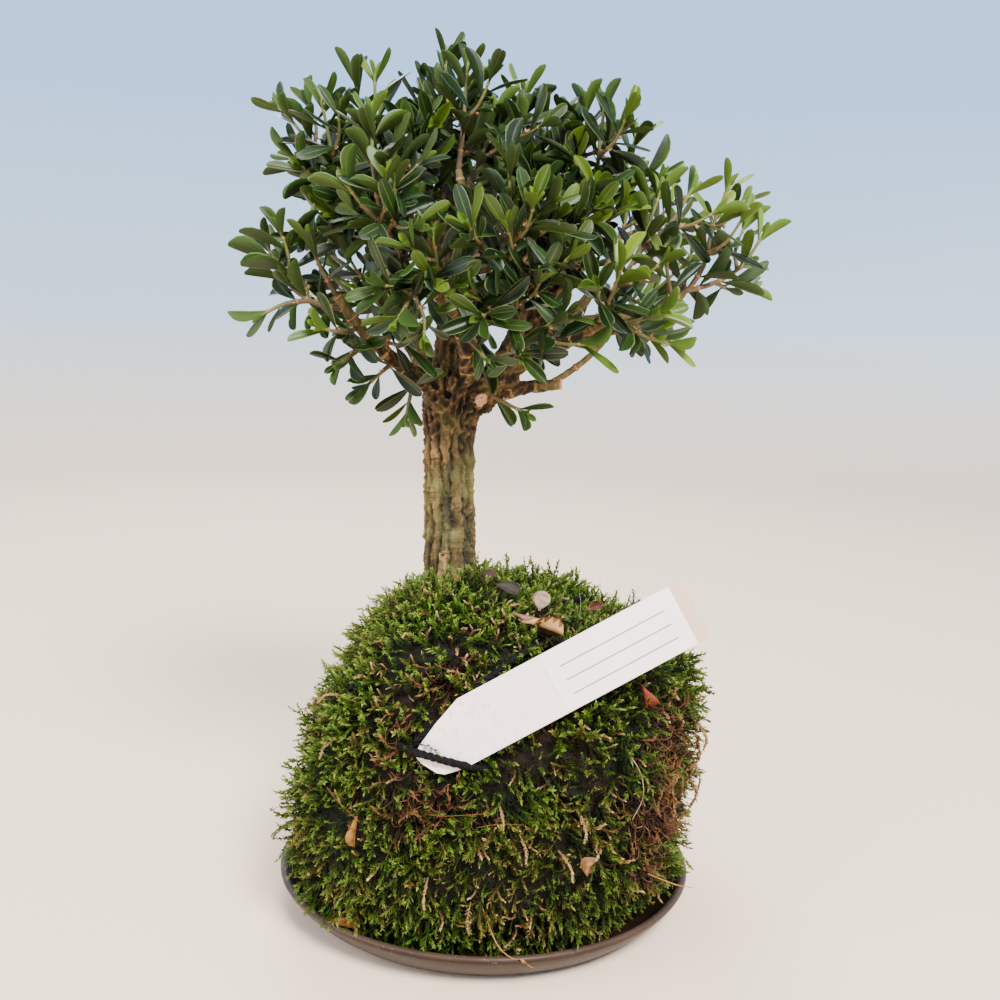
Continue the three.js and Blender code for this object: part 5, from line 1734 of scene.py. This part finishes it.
# the leaves of all twigs, as points with a turn, a size, a shape, a shade and an age
def placeLeaves(sprays):
    samples = limbSamples(24)
    leaves = []
    extra = randomStream(leaf["seed"])
    for index, spray in enumerate(sprays):
        draw = randomStream(shoot["seed"] + index)
        family = [one for twig in spray for one in (twig, *twig["sides"][:2])]
        family += [side for twig in spray for side in twig["sides"][2:]]
        family += [side for twig in spray for first in twig["sides"] for side in first["sides"]]
        for twig in family:
            youngSunny = youngSunnyShare(twig["line"])
            youth = 0.2 + 1.1 * extra() ** 2 + 0.75 * youngSunny
            for middle, axis, out, spread, size, share in leavesOn(twig, draw, extra):
                angle = math.radians(spread)
                direction = axis * math.cos(angle) + out * math.sin(angle)
                thickness = twig["thickness"] * lerp(shoot["baseRadius"], shoot["tipRadius"], min(1, share))
                root = middle + out * 0.5 * thickness
                length = leaf["length"] * size * (1 - 0.8 * max(0, -0.45 - direction[2]))
                if limbGap(root + np.outer([0.35, 0.7, 1], direction * length), samples) < leaf["limbRoom"]:
                    continue
                up = unit(axis - direction * (axis @ direction))
                turn = Matrix((direction, np.cross(up, direction), up)).transposed().to_euler()
                isFull = size > 0.5
                width = leaf["width"] * lerp(1, size, leaf["lengthWeight"] if isFull else leaf["smallWeight"])
                kind = int(len(leafShapes) * extra()) if isFull else 0
                shade = extra()
                # the age also rises towards +X, which paints those leaves lighter: partly young leaves,
                # partly painted light
                age = clipped((share - 0.68 + 0.3 * youngSunny) * 2.2 * youth + 0.4 * (extra() - 0.7))
                leaves.append((root, turn, (length * mm, width * mm, length * mm), kind, shade, age))
    roots, turns, sizes, kinds, shades, ages = zip(*leaves)
    mesh = meshFrom("leafPlaces", np.array(roots) * mm, [])
    storeValues(mesh, "turn", turns, "FLOAT_VECTOR")
    storeValues(mesh, "size", sizes, "FLOAT_VECTOR")
    storeValues(mesh, "kind", kinds, "INT")
    storeValues(mesh, "shade", shades)
    storeValues(mesh, "young", ages)
    return newObject("leafPlaces", mesh)


def leafPaint(graph):
    blade = graph.attribute("blade", "Vector")
    shade, young = graph.attribute("shade"), graph.attribute("young")
    isTop = graph.attribute("top") > 0.5
    cloud = graph.noise(160, graph.place(), 3)
    side = graph.maths("ABSOLUTE", graph.part(blade, "Y"))
    rib = graph.clamp(1 - side / 0.07)
    # painted highlight: a pale line along the blade's margin, where light catches it
    edge = graph.above(side, 0.88, 9)
    veins = graph.maths("SINE", (graph.part(blade, "X") * 1.6 - side * 0.5) * 62) * graph.clamp(side * 3)
    dark = graph.ramp(shade * 0.7 + cloud * 0.3, (0.1, 8, 20, 4), (0.5, 15, 33, 5), (0.9, 33, 56, 9))
    light = graph.ramp(shade, (0, 56, 84, 14), (1, 112, 134, 28))
    # lighter where 'young' is high: young leaves near the tips, and towards +X partly painted light
    grown = graph.mixColour(young, dark, light)
    ribbed = graph.mixColour(rib * 0.45, grown, (122, 150, 78))
    rimHighlit = graph.mixColour(edge * 0.4, ribbed, (140, 162, 96))
    plain = graph.mixColour(young * 0.8, (38, 55, 15), (82, 108, 26))
    under = graph.mixColour(rib * 0.5, plain, (118, 132, 66))
    return {"Base Color": graph.mixColour(isTop, under, rimHighlit),
            "Roughness": 0.5 - isTop * 0.17 + cloud * 0.12,
            "Normal": graph.bump(veins * 0.25 + rib * -1.2, 0.0001, 0.35)}


def makeFoliage(sprays, sprayNodes):
    source = placeLeaves(sprays)
    meshes = [leafMesh(f"leafShape{index}", *shape) for index, shape in enumerate(leafShapes)]
    blades = newSet("leafShapes", meshes)
    tree, graph, entry = newTree("leavesOnTwigs", {"Leaves": "Collection", "Material": "Material"})
    points = graph.node("GeometryNodeMeshToPoints", {}, {"Mesh": entry["Geometry"]})
    rotation = graph.node("FunctionNodeEulerToRotation", {}, {"Euler": graph.named("turn", "FLOAT_VECTOR")})
    planted = graph.plant(points, entry["Leaves"], {
        "Instance Index": graph.named("kind", "INT"), "Rotation": rotation,
        "Scale": graph.named("size", "FLOAT_VECTOR")})
    endTree(graph, planted, entry["Material"])
    green = newMaterial("glossyLeaf", leafPaint, {
        "Specular IOR Level": 0.3, "Subsurface Weight": 0.1, "Subsurface Radius": (0.4, 1, 0.2),
        "Subsurface Scale": 0.0005})
    foliage = growMesh("foliage", source, tree, {"Leaves": blades, "Material": green})
    dropSet(blades)
    finishPiece(newObject("foliage", foliage), "leaf", *sprayNodes)
    print("foliage with", len(foliage.polygons), "faces")


# a line along each twig, thicker where leaves stand, that ends in a pointed bud
def twigLines(every):
    points, edges, radii, nodes, ages = [], [], [], [], []
    for twig in every:
        line, thickness = twig["line"], twig["thickness"]
        pairs = pairsOn(line)
        scars = [pairPlace(step, pairs) for step in range(pairs)]
        beside = shoot["scarReach"] / line.length
        shares = {i / (2 * pairs) for i in range(2 * pairs + 1)}
        for scar in scars:
            shares |= {scar, max(0, scar - beside), min(1, scar + beside)}
        first = len(points)
        for share in sorted(shares - {1}):
            scar = 1 if share in scars else 0
            radius = thickness * lerp(shoot["baseRadius"], shoot["tipRadius"], share)
            points.append(line.point(share))
            radii.append(radius + shoot["scarHeight"] * scar)
            nodes.append(scar)
            ages.append(share if thickness == 1 else 0.4 + 0.6 * share)
        # the bud: mm beyond the twig's end, radius in mm and age
        end, way, tipRadius = line.point(1), line.tangent(1), thickness * shoot["tipRadius"]
        for reach, radius, age in ((0, 1.2 * tipRadius, 1), (1.2, 1.6 * tipRadius, 1.1), (3.4, 0.04, 1.3)):
            points.append(end + way * reach)
            radii.append(radius)
            nodes.append(0)
            ages.append(age)
        edges += [(i, i + 1) for i in range(first, len(points) - 1)]
    mesh = bpy.data.meshes.new("twigLines")
    mesh.from_pydata([tuple(point * mm) for point in points], edges, [])
    storeValues(mesh, "reach", np.array(radii) * mm)
    storeValues(mesh, "node", nodes)
    storeValues(mesh, "young", ages)
    return newObject("twigLines", mesh)


def twigPaint(graph):
    node, young = graph.attribute("node"), graph.attribute("young")
    spot = graph.place()
    streak = graph.noise(700, spot, 3)
    cloud = graph.noise(130, spot, 2)
    bark = graph.ramp(young * 0.8 + cloud * 0.35, (0.3, 74, 56, 30), (0.7, 84, 74, 34), (1, 86, 104, 32))
    streaked = graph.mixColour(graph.above(streak, 0.5, 4) * 0.35, bark, (136, 114, 72))
    scarred = graph.mixColour(graph.clamp(node * 1.1 - young * 0.3), streaked, (146, 100, 64))
    return {"Base Color": scarred, "Roughness": 0.62 + streak * 0.2,
            "Normal": graph.bump(streak, 0.0002, 0.5)}


def makeTwigPiece(every, sprayNodes):
    tree, graph, entry = newTree("twigs", {"Sides": "Int", "Material": "Material"})
    reach = graph.named("reach")
    curve = graph.node("GeometryNodeMeshToCurve", {}, {"Mesh": entry["Geometry"]})
    sized = graph.node("GeometryNodeSetCurveRadius", {}, {"Curve": curve, "Radius": reach})
    circle = graph.node("GeometryNodeCurvePrimitiveCircle", {"mode": "RADIUS"},
                        {"Resolution": entry["Sides"], "Radius": 1.0})
    sockets = {"Curve": sized, "Profile Curve": circle, "Fill Caps": True}
    # newer versions scale the profile by a socket of its own
    probe = tree.nodes.new("GeometryNodeCurveToMesh")
    if "Scale" in probe.inputs:
        sockets["Scale"] = reach
    tree.nodes.remove(probe)
    endTree(graph, graph.node("GeometryNodeCurveToMesh", {}, sockets), entry["Material"])
    grown = growMesh("twigs", twigLines(every), tree, {
        "Sides": shoot["sides"], "Material": newMaterial("greenTwig", twigPaint, {})})
    grown.shade_smooth()
    finishPiece(newObject("twigs", grown), "bark", *sprayNodes)
    print("twigs", len(every), "with", len(grown.polygons), "faces")


# dry scales stand in tufts where leaves and side shoots leave a twig
budScales = {
    "length": 2.3,  # mm
    "perNode": 0.75,
    "sidePlace": 0.08,  # how far up its step a side shoot leaves
    "bareTip": 0.75,  # beyond this share of the twig there are none
    "tufts": [(5, 34), (7, 44), (4, 26)],  # number of scales and how far they spread in degrees
    "width": 0.14,
    "seed": 61,
}


def makeTufts(draw):
    meshes = []
    for index, (count, spread) in enumerate(budScales["tufts"]):
        points, faces, along = [], [], []
        for i in range(count):
            angle, around = math.radians(spread) * (0.4 + 0.6 * draw()), 2.4 * i
            out = np.array([math.cos(around), math.sin(around), 0])
            tip = (np.array([0, 0, 1]) * math.cos(angle) + out * math.sin(angle)) * (0.6 + 0.4 * draw())
            addLeaflet(points, faces, along, out * 0.08, tip, out, budScales["width"], 0, 1)
        mesh = meshFrom(f"scaleTuft{index}", points, faces, smooth=False)
        storeValues(mesh, "along", along)
        meshes.append(mesh)
    return newSet("scaleTufts", meshes)


def scalePaint(graph):
    cloud = graph.noise(300, graph.place(), 2)
    share = graph.attribute("along") * 0.7 + cloud * 0.4
    dry = graph.ramp(share, (0.1, 92, 62, 36), (0.5, 148, 112, 74), (1, 208, 176, 134))
    return {"Base Color": dry, "Roughness": 0.6 + cloud * 0.2}


def makeBudScales(every, sprayNodes):
    draw = randomStream(budScales["seed"])
    places, ways = [], []
    for twig in every:
        line, pairs = twig["line"], pairsOn(twig["line"])
        for step in range(pairs):
            for place in (shoot["leafPlace"], budScales["sidePlace"]):
                share = (step + place) / pairs
                if share < budScales["bareTip"] and draw() < budScales["perNode"]:
                    axis = line.tangent(share)
                    out = turned(unit(np.cross(axis, (0.3, 0.2, 1))), axis, 2 * math.pi * draw())
                    places.append(line.point(share) + out * 0.4)
                    ways.append(axis * 0.9 + out * 0.6)
    mesh = meshFrom("scalePlaces", np.array(places) * mm, [])
    storeValues(mesh, "way", ways, "FLOAT_VECTOR")
    tufts = makeTufts(draw)
    tree, graph, entry = newTree("scalesOnTwigs", {"Tufts": "Collection", "Length": "Float", "Seed": "Int",
                                                   "Material": "Material"})
    points = graph.node("GeometryNodeMeshToPoints", {}, {"Mesh": entry["Geometry"]})
    facing = graph.node("FunctionNodeAlignRotationToVector", {"axis": "Z"},
                        {"Vector": graph.named("way", "FLOAT_VECTOR")})
    size = graph.chance("FLOAT", 0.6, 1.1, entry["Seed"])
    variant = graph.chance("INT", 0, len(budScales["tufts"]) - 1, entry["Seed"] + 1)
    planted = graph.plant(points, entry["Tufts"], {"Instance Index": variant, "Rotation": facing,
                                                   "Scale": size * entry["Length"]})
    endTree(graph, planted, entry["Material"])
    grown = growMesh("budScales", newObject("scalePlaces", mesh), tree, {
        "Tufts": tufts, "Length": budScales["length"] * mm, "Seed": budScales["seed"],
        "Material": newMaterial("dryScale", scalePaint, {})})
    dropSet(tufts)
    finishPiece(newObject("budScales", grown), "bark", *sprayNodes)
    print("bud scales", len(places), "with", len(grown.polygons), "faces")


makeWood()
sprayNodes = [name for name in frame["nodes"] if name.startswith("spray_")]
sprays, twigs = makeTwigs()
makeFoliage(sprays, sprayNodes)
makeTwigPiece(twigs, sprayNodes)
makeBudScales(twigs, sprayNodes)
print("plant made")

# what has fallen on the moss and what stands out of it
litter = {
    # dead leaves: middle, way along, way up, length and width in mm, arch, fold, colour
    "leaves": [
        ((15, -29, 104), (0.15, -0.1, 1), (-0.3, -1, 0.2), 6, 6, 0.2, 0.25, (178, 148, 120)),
        ((13, -37, 100.5), (1, -0.15, -0.25), (0.1, -0.75, 0.7), 14.5, 4.6, 0.12, -0.15, (140, 100, 78)),
        ((14.8, -39.5, 98), (1, -0.2, -0.36), (0.15, -0.5, 0.9), 12.5, 2.2, -0.1, 0.4, (206, 152, 92)),
        ((5, -23, 106.5), (1, -0.1, -0.2), (0, -0.7, 0.8), 8, 4.4, 0.15, 0.1, (44, 32, 24)),
        ((-1, -17, 108), (0.5, -0.2, 0.75), (-0.4, -0.9, 0.3), 5, 3.6, 0.5, 0.5, (62, 34, 30)),
        ((30.5, -27, 102), (0.85, -0.2, 0.45), (-0.2, -0.85, 0.5), 6.5, 2.6, 0.2, 0.3, (92, 48, 36)),
        ((44, -46, 82), (0.35, 0.05, -0.95), (0.3, -0.95, 0.1), 7, 3.4, 0.3, 0.9, (132, 46, 28)),
        ((-35, -61, 46), (-0.15, -0.1, -1), (-0.3, -1, 0.1), 9.5, 3.2, 0.25, 0.4, (170, 118, 52)),
        ((-40, -50, 13), (1, -0.35, 0.12), (0, -0.6, 0.8), 9, 2.6, 0.2, 0.3, (150, 96, 36)),
        ((30, -60.5, 38), (-0.7, -0.3, -0.7), (-0.4, -0.7, 0.6), 6, 2.2, 0.5, 1.2, (156, 110, 64)),
    ],
    # shoots that stand out by themselves: root, way, length in mm, which shoot, colours of its root and tip
    "sprigs": [
        ((62, -28, 70), (0.7, -0.2, -0.75), 11, 7, (110, 76, 44), (181, 141, 92)),
        ((61, -32, 58), (0.9, -0.2, -0.45), 10, 8, (96, 64, 34), (172, 131, 82)),
        ((60, -34, 55), (0.75, -0.1, -0.7), 11, 6, (86, 58, 34), (176, 132, 86)),
        ((59, -36, 52), (0.2, -0.2, -1), 9, 1, (46, 48, 16), (92, 96, 34)),
        ((55, -42, 53), (0.35, -0.15, -1), 14, 6, (98, 66, 36), (176, 131, 80)),
        ((52, -46, 55), (-0.4, -0.5, -0.8), 9, 7, (98, 62, 34), (164, 119, 72)),
        ((50, -48, 50), (0.9, -0.3, -0.5), 7, 4, (52, 34, 18), (116, 84, 48)),
        ((56, -38, 62), (0.3, -0.4, -0.9), 12, 8, (90, 56, 30), (170, 126, 80)),
        ((64, -24, 64), (0.5, -0.1, -0.9), 13, 6, (104, 72, 40), (167, 127, 80)),
        ((50, -50, 40), (1, -0.35, 0.02), 12, 1, (40, 60, 14), (112, 140, 46)),
        ((-55, -40, 39), (-0.95, -0.3, 0.1), 9, 1, (24, 38, 8), (84, 112, 30)),
        ((-57, -36, 37), (-0.9, -0.3, -0.2), 8, 0, (24, 38, 8), (84, 112, 30)),
        ((-43, -46, 19), (-0.15, -0.45, -0.9), 10, 6, (130, 96, 58), (197, 160, 115)),
        ((-15, -64, 34), (-0.2, -0.7, -0.7), 9, 7, (112, 78, 42), (195, 158, 110)),
        ((4, -63, 56), (0.3, -0.7, -0.6), 8, 7, (112, 80, 46), (201, 167, 121)),
        ((10, -63, 47), (0.5, -0.7, -0.6), 8, 6, (112, 80, 46), (195, 158, 112)),
        ((21, -62, 42), (0.6, -0.6, -0.5), 9, 7, (108, 76, 42), (194, 155, 107)),
        ((26, -60, 53), (0.5, -0.6, -0.6), 9, 6, (112, 82, 48), (202, 169, 123)),
        ((-3, -62, 26), (-0.3, -0.7, -0.7), 9, 8, (118, 84, 46), (199, 160, 110)),
        ((-23, -38, 95), (-0.2, -0.7, 0.7), 7, 7, (110, 78, 42), (188, 146, 98)),
        ((-43, -38, 77), (-0.7, -0.6, 0.4), 8, 7, (112, 78, 44), (190, 146, 97)),
        ((-44, -45, 66), (-0.6, -0.7, 0.2), 7, 8, (112, 82, 48), (190, 151, 103)),
        ((7, -36, 96), (0.2, -0.8, 0.6), 8, 8, (104, 84, 42), (181, 148, 97)),
        ((12, -20, 104), (-0.2, -0.2, 1), 6, 1, (60, 52, 26), (96, 84, 48)),
        # two that curl over the label's nose
        ((-18.5, -59.6, 71), (0.9, -0.35, 0.25), 9, 5, (66, 64, 22), (124, 118, 48)),
        ((-19, -60.4, 66.5), (0.75, -0.3, -0.6), 8, 5, (56, 60, 20), (118, 120, 50)),
    ],
    # hairs and roots: a few points, radius in mm, colour
    "strands": [
        ([(1.8, -2, 104), (2.6, -2.4, 109), (4.2, -3, 114)], 0.11, (96, 80, 66)),
        ([(27, -24, 99), (27.4, -25, 104), (26.8, -25, 107)], 0.1, (150, 140, 126)),
        ([(-16, -63, 52), (-11, -66, 53), (-4, -67, 54), (3, -66.5, 54.4)], 0.1, (112, 66, 30)),
        ([(-2, -64, 49), (4, -67, 51.5), (11, -67.5, 51.8)], 0.09, (120, 72, 34)),
        ([(40, -52, 68), (44, -54, 62), (45, -54, 55), (42, -56, 49)], 0.22, (146, 112, 84)),
        ([(-46, -46, 52), (-41, -53, 50), (-35, -56, 46)], 0.3, (98, 46, 28)),
        ([(0, -60, 24), (6, -66, 14), (15, -66, 9)], 0.24, (150, 108, 60)),
        ([(48, -50, 30), (56, -50, 27), (62, -46, 24)], 0.22, (150, 104, 60)),
    ],
    "leafTwist": 0.4,
    "lift": 1.5,  # mm that dead leaves lie above their given places
    "seed": 23,
}


def dyeOf(tint):
    return np.array(colour(*tint)[:3])


def litterPaint(graph):
    cloud = graph.noise(500, graph.place(), 4, 0.6)
    dye = graph.attribute("dye", "Vector")
    return {"Base Color": graph.mixColour(graph.above(cloud, 0.45, 3) * 0.35, dye, (52, 36, 22)),
            "Roughness": 0.55 + cloud * 0.25, "Normal": graph.bump(cloud, 0.0002, 0.5)}


def makeLitter():
    draw = randomStream(litter["seed"])
    points, faces, dyes = [], [], []

    def add(newPoints, newFaces, newDyes):
        first = len(points)
        points.extend(newPoints)
        faces.extend([tuple(i + first for i in face) for face in newFaces])
        dyes.extend(newDyes)

    for middle, way, up, length, width, arch, fold, tint in litter["leaves"]:
        blade = leafMesh("deadLeaf", arch, fold, litter["leafTwist"])
        way = unit(way)
        left = unit(np.cross(up, way))
        turn = np.array([way * length, left * width, np.cross(way, left) * length])
        local = readPoints(blade) - np.array([0.5, 0, 0])
        lift = unit(middle - ballCentre) * litter["lift"]
        add(local @ turn + middle + lift, [tuple(face.vertices) for face in blade.polygons],
            [dyeOf(tint) * (0.72 + 0.7 * noise.noise(Vector(place) * 6)) for place in local])
        bpy.data.meshes.remove(blade)
    for root, way, length, which, low, high in litter["sprigs"]:
        sprigPoints, sprigFaces, along = shootParts(which, draw)
        way = unit(way)
        side = unit(np.cross(way, (0.02, 0.05, -1)))
        turn = np.array([np.cross(side, way), side, way]) * length  # it bends downwards
        add(np.array(sprigPoints) @ turn + root, sprigFaces,
            [lerp(dyeOf(low), dyeOf(high), min(1, share * 1.1)) for share in along])
    for path, radius, tint in litter["strands"]:
        strand, sides = tube(Line(path), 14, 5, lambda share: radius * (1 - 0.5 * share))
        add(strand, sides, [dyeOf(tint)] * len(strand))

    mesh = meshFrom("litter", np.array(points) * mm, faces)
    storeValues(mesh, "dye", dyes, "FLOAT_VECTOR")
    settleShoots(mesh, False)
    piece = newObject("litter", mesh, newMaterial("dryLitter", litterPaint, {"Specular IOR Level": 0.3}))
    finishPiece(piece, "moss", "moss_cover")


makeLitter()
print("litter made")
